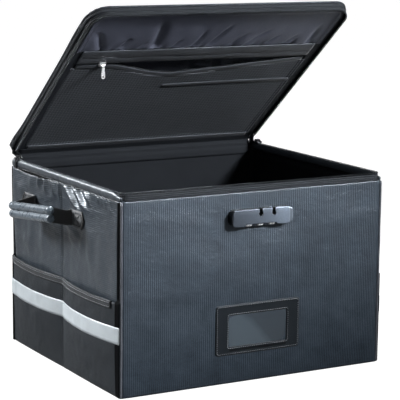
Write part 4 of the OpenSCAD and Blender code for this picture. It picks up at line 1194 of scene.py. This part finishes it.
# Rigid nodes keep their shape and get their finish
FINISHES = {
    "lock": ["lock_housing"],
    "lock_button": ["release_button"],
    "steel": ["lock_backplate", "lock_screws", "dial_shaft", "latch_spring", "latch_bar"],
    "dial": ["dial_1", "dial_2", "dial_3"],
    "metal_dark": ["left_zip_slider", "right_zip_slider", "left_zip_pull", "right_zip_pull"],
    "metal": ["pocket_slider", "pocket_pull"],
    "lining": ["base_board"],
    "board": ["front_board", "back_board", "left_front_board", "left_rear_board", "right_front_board",
              "right_rear_board", "lid_board"],
}
for mat, names in FINISHES.items():
    for name in names:
        cad(name, mat)

# White floor, brighter to the camera than to the part
nt, p = new_mat("floor")
fill(nt, p, {"Base Color": (0.32, 0.32, 0.32, 1), "Roughness": 0.9})
glow = node(nt, "ShaderNodeEmission", {"Strength": 1.62})
seen = calc(nt, "MULTIPLY", node(nt, "ShaderNodeLightPath").outputs["Is Camera Ray"], 0.6)
mixed = node(nt, "ShaderNodeMixShader", {0: seen, 1: p.outputs[0], 2: glow.outputs[0]})
fill(nt, nt.nodes["Material Output"], {"Surface": mixed.outputs[0]})
FLOOR_HALF, FLOOR_Z = 12, -0.0002
mesh = bpy.data.meshes.new("floor")
mesh.from_pydata([(x * FLOOR_HALF, y * FLOOR_HALF, FLOOR_Z) for x, y in ((-1, -1), (1, -1), (1, 1), (-1, 1))], [],
                 [(0, 1, 2, 3)])
floor = add("floor", mesh)
mesh.materials.append(M["floor"])

# Dim world light, with white behind the part and through clear film
world = bpy.data.worlds.new("world")
bpy.context.scene.world = world
world.use_nodes = True
nt = world.node_tree
dim = fill(nt, nt.nodes["Background"], {"Color": (1, 1, 1, 1), "Strength": 0.2})
bright = node(nt, "ShaderNodeBackground", {"Strength": 1.0})
path = node(nt, "ShaderNodeLightPath").outputs
seen = calc(nt, "MAXIMUM", path["Is Camera Ray"], path["Is Transmission Ray"])
mixed = node(nt, "ShaderNodeMixShader", {0: seen, 1: dim.outputs[0], 2: bright.outputs[0]})
fill(nt, nt.nodes["World Output"], {"Surface": mixed.outputs[0]})


def area(name, loc, target, size, power, size_y=None, spread=180.0):
    data = bpy.data.lights.new(name, "AREA")
    data.shape = "RECTANGLE"
    data.size, data.size_y = size, size_y or size
    data.energy = power
    data.spread = math.radians(spread)
    obj = add(name, data)
    obj.location = loc
    obj.rotation_mode = "QUATERNION"
    obj.rotation_quaternion = (Vector(target) - Vector(loc)).to_track_quat("-Z", "Y")


area("back_left", (-2.2, 2.4, 1.9), (-0.2, 0, 0.37), 1.4, 15, size_y=0.6, spread=30)
area("back_top", (-0.5, 3.0, 2.3), (0, 0, 0.3), 1.6, 12)
area("front_left", (-2.4, -1.4, 2.0), (0, 0, 0.3), 1.0, 4.5)
area("front_right", (1.7, -2.5, 1.9), (0.36, -0.2, 0.5), 1.5, 10.5, size_y=0.3, spread=18)
area("top", (0.3, -0.8, 2.6), (0, 0, 0.2), 1.4, 18)

bpy.context.scene.view_settings.view_transform = "Standard"
